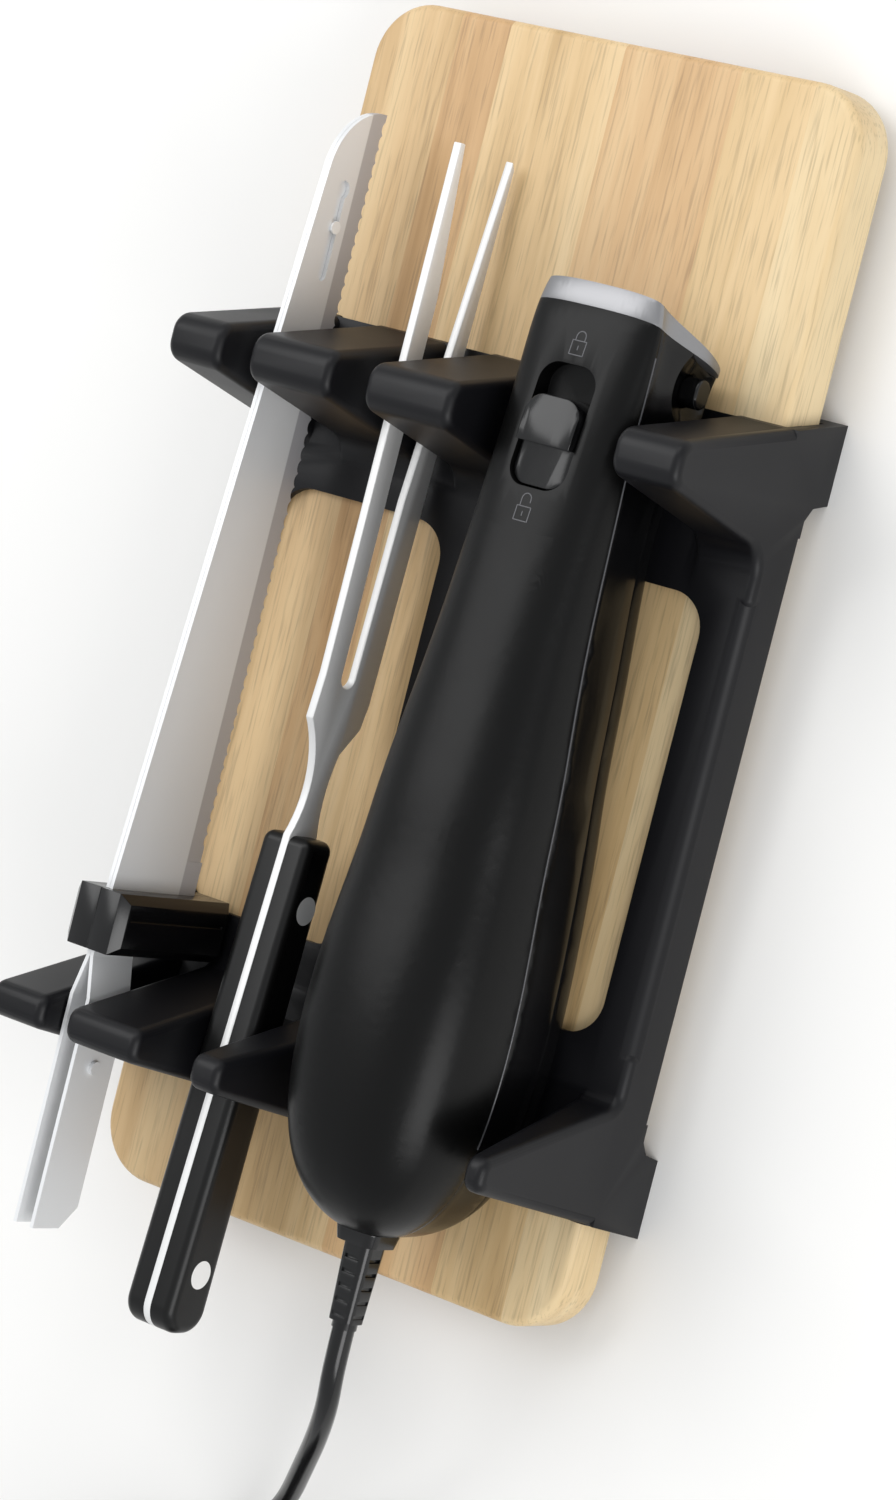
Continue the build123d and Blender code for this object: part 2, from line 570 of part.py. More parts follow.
with BuildPart() as armature_core:
    add(ring(-96, -62, 14.0, SHAFT_R).part)
    with BuildSketch(across(-61)):
        with Locations((KNIFE_X, MOTOR_Z)):
            with PolarLocations(11.0, 9):
                SlotOverall(7.4, 2.2)
    extrude(amount=37, mode=Mode.SUBTRACT)
keep(armature_core, "armature_core")

commutator = ring(-106.5, -99.5, 6.0, SHAFT_R)
keep(commutator, "commutator")

with BuildPart() as brushes:
    for side in (-1, 1):
        with Locations((KNIFE_X + side * 10.4, -103.0, MOTOR_Z)):
            Box(8.4, 4, 4.6)
keep(brushes, "brushes")

BUSH_R = 4.5
rear_bush = ring(CAN_Y0 - 9, CAN_Y0 - 4, BUSH_R, SHAFT_R + RUN)
keep(rear_bush, "rear_bush")
front_bush = ring(FRAME_Y0, FRAME_Y0 + 4, BUSH_R, SHAFT_R + RUN)
keep(front_bush, "front_bush")
nose_bush = ring(FRAME_Y1 - 3, FRAME_Y1, BUSH_R - 1, SHAFT_R + RUN)
keep(nose_bush, "nose_bush")

with BuildPart() as motor_fan:
    add(ring(-49, -42, 5.0, SHAFT_R).part)
    add(ring(-43.2, -42, 15.0, 4.0).part)
    with BuildSketch(across(-49)):
        with Locations((KNIFE_X, MOTOR_Z)):
            with PolarLocations(9.6, 9):
                Rectangle(10.4, 1.0, rotation=24)
    extrude(amount=-6.4)
keep(motor_fan, "motor_fan")

# Shaft with its worm, a single thread of module 1 that drives the gear wheel below it
THREAD_CORE, THREAD_TOP = WORM_R - 1.1, WORM_R + 0.8
with BuildPart() as worm_shaft:
    add(ring(CAN_Y0 - 11, FRAME_Y1 + 1, SHAFT_R, 0).part)
    add(ring(WORM_Y0 - 1, WORM_Y0 + WORM_L + 1, THREAD_CORE, 0).part)
    with BuildLine():
        thread_path = Helix(pitch=WORM_PITCH, height=WORM_L, radius=THREAD_CORE,
                            center=(KNIFE_X, WORM_Y0, MOTOR_Z), direction=(0, 1, 0))
    thread_out = (thread_path @ 0) - Vector(KNIFE_X, WORM_Y0, MOTOR_Z)
    with BuildSketch(Plane(thread_path @ 0, x_dir=thread_out, z_dir=thread_path % 0)):
        with BuildLine():
            Polyline((-0.4, 0.95), (THREAD_TOP - THREAD_CORE, 0.36),
                     (THREAD_TOP - THREAD_CORE, -0.36), (-0.4, -0.95), close=True)
        make_face()
    sweep(path=thread_path, is_frenet=True)
keep(worm_shaft, "worm_shaft")

# where the thread crosses the underside of the worm, nearest to the gear's centre line
start_turn = math.atan2(thread_out.X, thread_out.Z)
THREAD_SHIFTS = [WORM_Y0 - GEAR_Y + WORM_PITCH * (turn + (math.pi - start_turn) / (2 * math.pi) % 1)
                 for turn in range(-1, 9)]
THREAD_SHIFT = min(THREAD_SHIFTS, key=abs)
print("thread starts at", round(math.degrees(start_turn)), "shift", round(THREAD_SHIFT, 3))

# Gear wheel with a throw pin on each face, one up and one down
TOOTH_ROOT_R = GEAR_TEETH * GEAR_MODULE / 2 - 1.15
TOOTH_TIP_R = GEAR_TEETH * GEAR_MODULE / 2 + 0.75
TOOTH_SINK, TOOTH_ROOT_HALF, TOOTH_TIP_HALF = 0.5, 0.94, 0.33
GAP_ANGLE = 90 - math.degrees(THREAD_SHIFT / (GEAR_TEETH * GEAR_MODULE / 2))
with BuildSketch() as tooth:
    with BuildLine():
        Polyline((TOOTH_ROOT_R - TOOTH_SINK, TOOTH_ROOT_HALF), (TOOTH_TIP_R, TOOTH_TIP_HALF),
                 (TOOTH_TIP_R, -TOOTH_TIP_HALF), (TOOTH_ROOT_R - TOOTH_SINK, -TOOTH_ROOT_HALF), close=True)
    make_face()

with BuildPart() as drive_gear:
    with BuildSketch(Plane.YZ.offset(KNIFE_X - GEAR_W / 2)):
        with Locations((GEAR_Y, GEAR_Z)):
            Circle(TOOTH_ROOT_R)
            with PolarLocations(0, GEAR_TEETH, start_angle=GAP_ANGLE + 180 / GEAR_TEETH):
                add(tooth.sketch)
            Circle(AXLE_R + RUN, mode=Mode.SUBTRACT)
    extrude(amount=GEAR_W)
    for side in (-1, 1):
        with BuildSketch(Plane.YZ.offset(KNIFE_X + side * (GEAR_W / 2 - 0.5))):
            with Locations((GEAR_Y, GEAR_Z - side * PIN_THROW)):
                Circle(PIN_R)
        extrude(amount=side * 6.2)
keep(drive_gear, "drive_gear")

with BuildPart() as gear_axle:
    with BuildSketch(Plane.YZ.offset(KNIFE_X - FRAME_HALF - FRAME_T / 2)):
        with Locations((GEAR_Y, GEAR_Z)):
            Circle(AXLE_R)
    extrude(amount=2 * FRAME_HALF + FRAME_T)
keep(gear_axle, "gear_axle")

# Gearbox frame: two side plates between a back wall and a short front wall
FRAME_L = FRAME_Y1 - FRAME_Y0
with BuildPart() as gearbox_frame:
    with Locations(*[(KNIFE_X + side * FRAME_HALF, (FRAME_Y0 + FRAME_Y1) / 2, FRAME_Z0)
                     for side in (-1, 1)]):
        Box(FRAME_T, FRAME_L, FRAME_Z1 - FRAME_Z0, align=(Align.CENTER, Align.CENTER, Align.MIN))
    with Locations((KNIFE_X, FRAME_Y0, FRAME_Z0)):
        Box(2 * FRAME_HALF, 4, FRAME_Z1 - FRAME_Z0, align=(Align.CENTER, Align.MIN, Align.MIN))
    with Locations((KNIFE_X, FRAME_Y1, FRAME_Z1)):
        Box(2 * FRAME_HALF, 3, FRAME_Z1 - 55, align=(Align.CENTER, Align.MAX, Align.MAX))
    add(ring(FRAME_Y0 - 1, FRAME_Y0 + 5, BUSH_R, 0).part, mode=Mode.SUBTRACT)
    add(ring(FRAME_Y1 - 4, FRAME_Y1 + 1, BUSH_R - 1, 0).part, mode=Mode.SUBTRACT)
    add(gear_axle.part, mode=Mode.SUBTRACT)
keep(gearbox_frame, "gearbox_frame")

# Blade carriers: a slotted plate beside the gear and a jaw for one blade's tang
CARRIER_Z0, CARRIER_Z1 = 35.4, 54.0
JAW_Y0, JAW_Y1 = 32.6, 50.0
for side, name in ((-1, "blade_carrier_left"), (1, "blade_carrier_right")):
    pin_z = GEAR_Z - side * PIN_THROW
    drop = PIN_THROW * (1 - math.cos(math.radians(50)))
    slot_ends = sorted((pin_z + side * (drop + PIN_R + 0.3), pin_z - side * (PIN_R + 0.3)))
    with BuildPart() as carrier:
        with BuildSketch(Plane.YZ.offset(KNIFE_X + side * 5.2)):
            with Locations(((6.0 + JAW_Y1) / 2, (CARRIER_Z0 + CARRIER_Z1) / 2)):
                Rectangle(JAW_Y1 - 6.0, CARRIER_Z1 - CARRIER_Z0)
            with Locations((GEAR_Y, GEAR_Z)):
                Rectangle(2 * (STROKE + AXLE_R + 0.4), 2 * AXLE_R + 0.8, mode=Mode.SUBTRACT)
            with Locations((GEAR_Y, sum(slot_ends) / 2)):
                Rectangle(2 * (PIN_R + 0.3), slot_ends[1] - slot_ends[0], mode=Mode.SUBTRACT)
        extrude(amount=side * 2.4)
        with Locations((KNIFE_X + side * 4.0, (JAW_Y0 + JAW_Y1) / 2, (CARRIER_Z0 + CARRIER_Z1) / 2)):
            Box(7.2, JAW_Y1 - JAW_Y0, CARRIER_Z1 - CARRIER_Z0)
        with Locations((KNIFE_X + side * 2.6, JAW_Y1, (SOCKET_Z0 + CARRIER_Z1) / 2)):
            Box(2.0, 24, CARRIER_Z1 - SOCKET_Z0 - 2, mode=Mode.SUBTRACT)
    keep(carrier, name)

with BuildPart() as housing_screws:
    with Locations(*[(x, y, SCREW_SEAT_Z) for x, y in SCREWS]):
        Cylinder(SCREW_R, SCREW_TIP_Z - SCREW_SEAT_Z, align=(Align.CENTER, Align.CENTER, Align.MIN))
        Cylinder(HEAD_R, 2.2, align=(Align.CENTER, Align.CENTER, Align.MAX))
        with Locations((0, 0, -2.2)):
            Box(3.4, 0.7, 1.6, mode=Mode.SUBTRACT)
            Box(0.7, 3.4, 1.6, mode=Mode.SUBTRACT)
keep(housing_screws, "housing_screws")

# Strain relief: a block at the housing, a slotted square sleeve and a small end collar
with BuildPart() as strain_relief:
    with BuildSketch(across(-138.2)):
        with Locations((KNIFE_X, CORD_Z)):
            Rectangle(RELIEF_NECK + 3, RELIEF_NECK + 3)
    extrude(amount=1.8)
    with BuildSketch(across(-140.0)):
        with Locations((KNIFE_X, CORD_Z)):
            Rectangle(RELIEF_NECK, RELIEF_NECK)
    extrude(amount=3.5)
    for y, size, corner in ((RELIEF_Y1, 15.0, 3.6), (RELIEF_BLOCK_Y, 9.6, 2.6)):
        with BuildSketch(across(y)):
            with Locations((KNIFE_X, CORD_Z)):
                RectangleRounded(size, size, corner)
        with BuildSketch(across(RELIEF_BLOCK_Y if y == RELIEF_Y1 else RELIEF_Y0 + 2)):
            with Locations((KNIFE_X, CORD_Z)):
                RectangleRounded(size - 1.6, size - 1.6, corner - 0.4)
        loft()
    with BuildSketch(across(RELIEF_Y0 + 2)):
        with Locations((KNIFE_X, CORD_Z)):
            Circle(CORD_D / 2 + 0.4)
    extrude(amount=2)
    # five rows of flex slots on each of the four sides
    with Locations(*[Location((KNIFE_X, -151.5 - 4.1 * row, CORD_Z), (0, 90 * side, 0))
                     for row in range(5) for side in range(4)]):
        with Locations((0, 0, 4.8)):
            Box(5.0, 1.1, 2.4, mode=Mode.SUBTRACT)
keep(strain_relief, "strain_relief")

# Cord: straight runs joined by tangent arcs, then a coil, a tail and the plug
def corner_radii(route):
    """Radius at each inner point: 0.45 of the shorter run over the tangent of half the turn."""
    radii = []
    for a, b, c in zip(route, route[1:], route[2:]):
        before, after = Vector(*b) - Vector(*a), Vector(*c) - Vector(*b)
        turn = before.get_angle(after)
        run = min(before.length, after.length)
        radii.append(0.45 * run / math.tan(math.radians(turn) / 2))
    return radii


def tube(path_points, radii):
    """Eight-sided tube along straight runs with an arc at each corner."""
    with BuildPart() as body:
        with BuildLine():
            path = FilletPolyline(*path_points, radius=radii)
        with BuildSketch(Plane(path @ 0, z_dir=path % 0)) as section:
            RegularPolygon(CORD_D / 2, 8)
        sweep(path=path)
    print("radii", [round(r, 1) for r in radii],
          "volume", round(body.part.volume), "section x length", round(section.sketch.area * path.length))
    return body, path.length


power_cord, cord_length = tube(CORD_ROUTE, corner_radii(CORD_ROUTE))
keep(power_cord, "power_cord")

coil_start = Vector(*CORD_ROUTE[-1])
heading = (coil_start - Vector(*CORD_ROUTE[-2])).normalized()
outward = Vector(heading.Y, -heading.X, 0)
coil_centre = coil_start + heading * CORD_D - outward * COIL_R


def coil_point(radius, side, lift):
    """Point of the coil on its cross line, on the start side for side = 1."""
    return coil_centre + outward * (radius * side) + Vector(0, 0, lift)


with BuildPart() as cord_coil:
    with BuildLine() as coil_line:
        radius, side, lift = COIL_R, 1, 0.0
        step = -COIL_STEP / 2
        Line(coil_start, coil_point(radius, side, lift))
        for layer in range(COIL_LAYERS):
            turns = COIL_TURNS - (1 if layer == COIL_LAYERS - 1 else 0)
            for turn in range(turns):
                start, end = coil_point(radius, side, lift), coil_point(radius + step, -side, lift)
                middle = (start + end) / 2 + heading * side * (radius + step / 2)
                ThreePointArc(start, middle, end)
                radius, side = radius + step, -side
            if layer < COIL_LAYERS - 1:
                start, end = coil_point(radius, side, lift), coil_point(radius, -side, lift + COIL_CLIMB)
                reach = math.hypot(radius, COIL_CLIMB / 2)
                ThreePointArc(start, (start + end) / 2 + heading * side * reach, end)
                side, lift, step = -side, lift + COIL_CLIMB, -step
        Line(coil_point(radius, side, lift), coil_point(radius, side, lift) + heading * side * CORD_D)
    coil_path = coil_line.wires()[0]
    with BuildSketch(Plane(coil_path @ 0, z_dir=coil_path % 0)) as coil_section:
        RegularPolygon(CORD_D / 2, 8)
    sweep(path=coil_path)
keep(cord_coil, "cord_coil")
print("coil volume", round(cord_coil.part.volume),
      "section x length", round(coil_section.sketch.area * coil_path.length))

# least gap from the coil to itself, between points further apart along it than a quarter turn
count = round(coil_path.length / (CORD_D / 4))
points = [tuple(coil_path @ (index / count)) for index in range(count + 1)]
apart = round(COIL_R * math.pi / 2 / (CORD_D / 4))
least = min(math.dist(a, b) for index, a in enumerate(points) for b in points[index + apart:])
print("coil gap", round(least - CORD_D, 2))

coil_end, tail_heading = coil_path @ 1, coil_path % 1
across_tail = Vector(0, 0, 1).cross(tail_heading)
tail_route = [coil_end] + [coil_end + tail_heading * ahead - across_tail * aside + Vector(0, 0, down)
                           for ahead, aside, down in TAIL_STEPS]
tail_route = [tuple(point) for point in tail_route]
cord_tail, tail_length = tube(tail_route, corner_radii(tail_route))
keep(cord_tail, "cord_tail")
print("cord length", round(cord_length + coil_path.length + tail_length))

bundle_w = COIL_STEP * COIL_TURNS / 2 + CORD_D
bundle_h = COIL_CLIMB * (COIL_LAYERS - 1) + CORD_D
with BuildPart() as cord_tie:
    tie_at = coil_point(COIL_R - COIL_STEP * COIL_TURNS / 4, -1, (COIL_LAYERS - 1) * COIL_CLIMB / 2)
    tie_turn = math.degrees(math.atan2(outward.Y, outward.X))
    with Locations(Location(tuple(tie_at), (0, 0, tie_turn))):
        Box(bundle_w + 2 * TIE_GAP + 2 * TIE_T, TIE_L, bundle_h + 2 * TIE_GAP + 2 * TIE_T)
        Box(bundle_w + 2 * TIE_GAP, 2 * TIE_L, bundle_h + 2 * TIE_GAP, mode=Mode.SUBTRACT)
keep(cord_tie, "cord_tie")

plug_at, plug_way = Vector(*tail_route[-1]), (Vector(*tail_route[-1]) - Vector(*tail_route[-2])).normalized()
plug_plane = Plane(plug_at, x_dir=Vector(0, 0, 1).cross(plug_way), z_dir=plug_way)
with BuildPart() as plug_body:
    with BuildSketch(plug_plane):
        Circle(CORD_D / 2 + 0.6)
    with BuildSketch(plug_plane.offset(8)):
        RectangleRounded(12, 9.4, 3)
    loft()
    with BuildSketch(plug_plane.offset(8)):
        RectangleRounded(18, 9.4, 3)
    extrude(amount=18)
keep(plug_body, "plug_body")
print("plug at", [round(v, 1) for v in plug_at], "way", [round(v, 4) for v in plug_way])

with BuildPart() as plug_pins:
    with BuildSketch(plug_plane.offset(26)):
        with Locations((-6.35, 0), (6.35, 0)):
            Rectangle(1.5, 6.3)
    extrude(amount=16)
keep(plug_pins, "plug_pins")

# Blades: two flat saw blades side by side, their tangs bent a little apart
with BuildPart() as blade_blank:
    with BuildSketch(Plane.YZ):
        with BuildLine():
            Polyline((SPINE_TIP_Y, SPINE_TIP_Z), (BLADE_HEEL_Y - 13, SPINE_HEEL_Z),
                     (BLADE_HEEL_Y - 13, BLADE_EDGE_Z + 3), (BLADE_HEEL_Y, BLADE_EDGE_Z),
                     (BLADE_TIP_Y, BLADE_EDGE_Z))
            ThreePointArc((BLADE_TIP_Y, BLADE_EDGE_Z), (BLADE_TIP_Y - 5.2, SPINE_TIP_Z - 6.6),
                          (SPINE_TIP_Y, SPINE_TIP_Z))
        make_face()
        teeth = int((BLADE_TIP_Y - BLADE_HEEL_Y - 18) / SERRATION_PITCH)
        first = BLADE_TIP_Y - 4 - SERRATION_PITCH * (teeth - 1) / 2
        with Locations((first, BLADE_EDGE_Z - SERRATION_R + 1.0)):
            with GridLocations(SERRATION_PITCH, 1, teeth, 1):
                Circle(SERRATION_R, mode=Mode.SUBTRACT)
    extrude(amount=BLADE_T)

blade_pieces, guard_pieces = {}, {}
for side, word in ((-1, "left"), (1, "right")):
    inner = BLADE_X + side * BLADE_GAP / 2
    outer = inner + side * BLADE_T
    with BuildPart() as blade:
        with Locations((min(inner, outer), 0, 0)):
            add(blade_blank.part)
        # hollow-ground band along the edge
        with BuildSketch(across(BLADE_TIP_Y + 2)):
            with BuildLine():
                Polyline((outer, BLADE_EDGE_Z + BEVEL_H), (outer + side, BLADE_EDGE_Z - 3),
                         (outer - side * BEVEL_DEPTH, BLADE_EDGE_Z - 3),
                         (outer - side * BEVEL_DEPTH, BLADE_EDGE_Z), close=True)
            make_face()
        extrude(amount=BLADE_TIP_Y - BLADE_HEEL_Y - 12, mode=Mode.SUBTRACT)
        # tang, bent outward behind the guard
        with BuildSketch(Plane.XY.offset(TANG_Z0)):
            with BuildLine():
                out = side * TANG_SPLAY
                Polyline((inner, BLADE_HEEL_Y - 12.9), (inner, TANG_BEND_Y0), (inner + out, TANG_BEND_Y1),
                         (inner + out, TANG_Y), (outer + out, TANG_Y), (outer + out, TANG_BEND_Y1),
                         (outer, TANG_BEND_Y0), (outer, BLADE_HEEL_Y - 12.9), close=True)
            make_face()
        extrude(amount=TANG_Z1 - TANG_Z0 - 1)
        with Locations((outer + out, TANG_Y, TANG_Z0)):
            Box(6, 9, 9, rotation=(45, 0, 0), mode=Mode.SUBTRACT)
        # catch stud on the tang
        with BuildSketch(Plane.YZ.offset(outer + out)):
            with Locations((-127.0, 66.0)):
                Circle(2.0)
        extrude(amount=side * 1.2)
        if side > 0:
            # keyhole slot that the rivet rides in
            with BuildSketch(Plane.YZ.offset(inner - 1)):
                with Locations(((KEYHOLE_Y0 + KEYHOLE_Y1) / 2, BLADE_RIVET_Z)):
                    SlotCenterToCenter(KEYHOLE_Y1 - KEYHOLE_Y0, 3.2)
                with Locations((KEYHOLE_Y1, BLADE_RIVET_Z)):
                    Circle(2.7)
            extrude(amount=4, mode=Mode.SUBTRACT)
    keep(blade, f"blade_{word}")
    with BuildPart() as guard:
        with Locations((BLADE_X + side * (GUARD_HALF + BLADE_GAP / 2) / 2,
                        (GUARD_Y0 + GUARD_Y1) / 2, (GUARD_Z0 + GUARD_Z1) / 2)):
            Box(GUARD_HALF - BLADE_GAP / 2, GUARD_Y1 - GUARD_Y0, GUARD_Z1 - GUARD_Z0)
        edge_x = BLADE_X + side * GUARD_HALF
        outer_edges = guard.edges().filter_by(lambda e: abs(e.center().X - edge_x) < 0.1)
        chamfer(outer_edges, GUARD_CHAMFER)
        low_edge = guard.edges().filter_by(Axis.X).sort_by(lambda e: e.center().Y + e.center().Z)[0]
        chamfer(low_edge, GUARD_CHAMFER)
        with Locations((edge_x, GUARD_Y0 + 11, (GUARD_Z0 + GUARD_Z1) / 2)):
            Box(1.0, 0.8, GUARD_Z1 - GUARD_Z0 - 8, mode=Mode.SUBTRACT)
        add(blade.part, mode=Mode.SUBTRACT)
    keep(guard, f"blade_guard_{word}")

with BuildPart() as blade_rivet:
    rivet_x = BLADE_X - BLADE_GAP / 2
    with Locations(Location((rivet_x, BLADE_RIVET_Y, BLADE_RIVET_Z), (0, 90, 0))):
        Cylinder(1.4, BLADE_T + 2 * BLADE_GAP, align=(Align.CENTER, Align.CENTER, Align.MIN))
        with Locations((0, 0, BLADE_T + 2 * BLADE_GAP)):
            Cylinder(BLADE_RIVET_R, 0.7, align=(Align.CENTER, Align.CENTER, Align.MIN))
keep(blade_rivet, "blade_rivet")

# Carving fork: one plate with two tines, a waisted neck and a full tang between two scales
with BuildPart() as fork_blade:
    with BuildSketch(Plane.YZ.offset(FORK_X - FORK_T / 2)):
        with BuildLine():
            Polyline((-47, 53.2), (-192.5, 63.6), (-192.5, 46.0), (-47, 40.4))
            ThreePointArc((-47, 40.4), (-33, 41.6), (-22.5, 39.6))
            Polyline((-22.5, 39.6), (-14.5, 32.8), (-7, 31.4), (24, 30.7), (150.4, 26.7),
                     (152.6, 28.2), (52, 39.0), (0, 41.0))
            ThreePointArc((0, 41.0), (-3.4, 44.3), (0, 47.6))
            Polyline((0, 47.6), (110, 47.4), (153.4, 52.4), (153.4, 54.6), (0, 55.2), (-13, 56.4))
            ThreePointArc((-13, 56.4), (-31, 49.6), (-47, 53.2))
        make_face()
    extrude(amount=FORK_T)
    fillet(fork_blade.edges().filter_by(Axis.X).group_by(Axis.Y)[0], 7.4)
keep(fork_blade, "fork_blade")

for side, word in ((-1, "left"), (1, "right")):
    with BuildPart() as scale:
        with BuildSketch(Plane.YZ.offset(FORK_X + side * FORK_T / 2)) as scale_face:
            with BuildLine():
                Polyline(*FORK_HANDLE, close=True)
            make_face()
            fillet(scale_face.vertices().group_by(Axis.X)[0], 7.4)
            fillet(scale_face.vertices().group_by(Axis.X)[-1], 3.0)
        extrude(amount=side * FORK_SCALE_T)
        outer_face = scale.faces().filter_by(Axis.X).sort_by(Axis.X)[-1 if side > 0 else 0]
        fillet(outer_face.edges(), FORK_SCALE_EDGE_R)
        for y, z in FORK_RIVETS:
            with Locations(Location((FORK_X, y, z), (0, 90, 0))):
                Cylinder(FORK_RIVET_R, 40, mode=Mode.SUBTRACT)
    keep(scale, f"fork_scale_{word}")

with BuildPart() as fork_rivets:
    for side in (-1, 1):
        for y, z in FORK_RIVETS:
            with Locations(Location((FORK_X + side * FORK_T / 2, y, z), (0, 90 * side, 0))):
                Cylinder(FORK_RIVET_R, FORK_SCALE_T, align=(Align.CENTER, Align.CENTER, Align.MIN))
keep(fork_rivets, "fork_rivets")
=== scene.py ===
# %% [markdown]
# # Carving set on a board: the looks
#
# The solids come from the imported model, so this notebook only gives them their
# surfaces: oiled wood, moulded plastic, ground steel and a vinyl cord. It also adds
# the pieces that a solid model leaves plain, and sets up the camera and the light.

# %% Tools
import math

import bpy
from mathutils import Matrix, Vector


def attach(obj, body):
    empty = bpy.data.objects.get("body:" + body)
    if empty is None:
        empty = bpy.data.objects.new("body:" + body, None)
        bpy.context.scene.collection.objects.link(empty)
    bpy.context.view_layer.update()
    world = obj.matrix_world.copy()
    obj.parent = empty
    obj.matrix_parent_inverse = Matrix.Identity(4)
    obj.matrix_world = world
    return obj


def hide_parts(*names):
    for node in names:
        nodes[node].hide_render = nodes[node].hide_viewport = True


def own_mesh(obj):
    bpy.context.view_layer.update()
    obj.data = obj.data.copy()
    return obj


MM = 0.001   # sizes are written in millimetres, and Blender works in metres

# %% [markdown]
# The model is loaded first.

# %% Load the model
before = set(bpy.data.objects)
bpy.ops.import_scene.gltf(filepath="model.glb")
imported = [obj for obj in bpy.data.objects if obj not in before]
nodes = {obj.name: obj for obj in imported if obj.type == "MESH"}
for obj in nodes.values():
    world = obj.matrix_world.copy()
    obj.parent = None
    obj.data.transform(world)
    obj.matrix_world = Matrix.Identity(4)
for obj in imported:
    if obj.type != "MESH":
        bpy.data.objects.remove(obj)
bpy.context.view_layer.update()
bpy.ops.object.select_all(action="DESELECT")
print("pieces in the model", len(nodes))


# %% [markdown]
# Colours are picked as the eye sees them, in sRGB hex, but a renderer works in linear
# light. One function does that change. Another adds a node to a material with its
# settings and its links, so that each material below reads as a short recipe.

# %% Colour and node helpers
def linear(hex_colour):
    """Linear RGBA of an sRGB hex colour such as #E3C796."""
    shares = [int(hex_colour[i:i + 2], 16) / 255 for i in (1, 3, 5)]
    light = [c / 12.92 if c <= 0.04045 else ((c + 0.055) / 1.055) ** 2.4 for c in shares]
    return (*light, 1.0)


def put(tree, kind, settings=None, **links):
    """Add a node, set its properties and inputs, and link sockets to its inputs."""
    node = tree.nodes.new(kind)
    for name, value in (settings or {}).items():
        if name in node.inputs:
            node.inputs[name].default_value = value
        else:
            setattr(node, name, value)
    for name, source in links.items():
        tree.links.new(source, node.inputs[name.replace("_", " ")])
    return node


def new_material(name):
    """Empty material with a Principled surface: (material, tree, surface)."""
    material = bpy.data.materials.new(name)
    material.use_nodes = True
    tree = material.node_tree
    return material, tree, tree.nodes["Principled BSDF"]


def ramp(tree, factor, stops):
    """Colour ramp through (place, hex colour) stops."""
    node = put(tree, "ShaderNodeValToRGB", Fac=factor)
    points = node.color_ramp.elements
    while len(points) < len(stops):
        points.new(0.5)
    for point, (place, colour) in zip(points, stops):
        point.position, point.color = place, linear(colour)
    return node.outputs["Color"]


def grain_place(tree, stretch):
    """Object coordinates stretched by three shares, for a pattern with a direction."""
    where = put(tree, "ShaderNodeTexCoord")
    turned = put(tree, "ShaderNodeMapping", {"Scale": stretch}, Vector=where.outputs["Object"])
    return turned.outputs["Vector"]


# %% [markdown]
# ## Wood
#
# The board is glued from staves of a pale hardwood, sanded and oiled. The grain runs
# along each stave in long wavy bands about 6 mm wide, with fine pores of under a
# millimetre drawn out along it. Each stave was cut from another plank, so each gets
# its own tone and its own part of the pattern. Oil leaves a soft sheen and no coat.

# %% Oiled wood
BAND_MM, PORE_MM = 6.0, 0.7
BAND_STRETCH, PORE_STRETCH = 0.07, 0.04   # shares of the scale along the grain
NOISE_BANDS = 2.2                         # bands that one cell of the noise shows as
CLOUDS_PER_METRE, CLOUD_SHARE = 9.0, 0.28
TONE_STOPS = (0.36, 0.5, 0.64)            # noise values of the dark, middle and light tone
PORE_FROM, PORE_TO, PORE_TONE = 0.52, 0.7, 0.76
PORE_DEPTH_MM = 0.3
OIL_ROUGHNESS, OIL_IOR = 0.48, 1.45
MIX_A, MIX_B, MIX_OUT = 6, 7, 2           # the Mix node's sockets for colours


def oiled_wood(name, light, mid, dark, offset):
    """Oiled hardwood with bands along Y, started at its own offset."""
    material, tree, surface = new_material(name)
    where = put(tree, "ShaderNodeTexCoord")
    bands_at = put(tree, "ShaderNodeMapping", {"Location": (offset, offset * 3, 0),
                                               "Scale": (1, BAND_STRETCH, 1)},
                   Vector=where.outputs["Object"])
    wave = put(tree, "ShaderNodeTexNoise", {"Scale": 1 / (BAND_MM * NOISE_BANDS * MM), "Detail": 5.0,
                                            "Roughness": 0.55, "Distortion": 0.6},
               Vector=bands_at.outputs["Vector"])
    pores_at = put(tree, "ShaderNodeMapping", {"Location": (offset, 0, 0), "Scale": (1, PORE_STRETCH, 1)},
                   Vector=where.outputs["Object"])
    pores = put(tree, "ShaderNodeTexNoise", {"Scale": 1 / (PORE_MM * MM), "Detail": 2.0},
                Vector=pores_at.outputs["Vector"])
    cloud = put(tree, "ShaderNodeTexNoise", {"Scale": CLOUDS_PER_METRE, "Detail": 2.0},
                Vector=bands_at.outputs["Vector"])
    tone = put(tree, "ShaderNodeMix", {"data_type": "FLOAT", "Factor": CLOUD_SHARE},
               A=wave.outputs["Fac"], B=cloud.outputs["Fac"])
    base = ramp(tree, tone.outputs["Result"], tuple(zip(TONE_STOPS, (dark, mid, light))))
    pore_dark = put(tree, "ShaderNodeMapRange", {"From Min": PORE_FROM, "From Max": PORE_TO,
                                                 "To Min": 1.0, "To Max": PORE_TONE},
                    Value=pores.outputs["Fac"])
    colour = put(tree, "ShaderNodeMix", {"data_type": "RGBA", "blend_type": "MULTIPLY"})
    colour.inputs["Factor"].default_value = 1.0
    tree.links.new(base, colour.inputs[MIX_A])
    tree.links.new(pore_dark.outputs["Result"], colour.inputs[MIX_B])
    tree.links.new(colour.outputs[MIX_OUT], surface.inputs["Base Color"])
    surface.inputs["Roughness"].default_value = OIL_ROUGHNESS
    surface.inputs["IOR"].default_value = OIL_IOR
    bump = put(tree, "ShaderNodeBump", {"Strength": 0.12, "Distance": PORE_DEPTH_MM * MM},
               Height=pores.outputs["Fac"])
    tree.links.new(bump.outputs["Normal"], surface.inputs["Normal"])
    return material


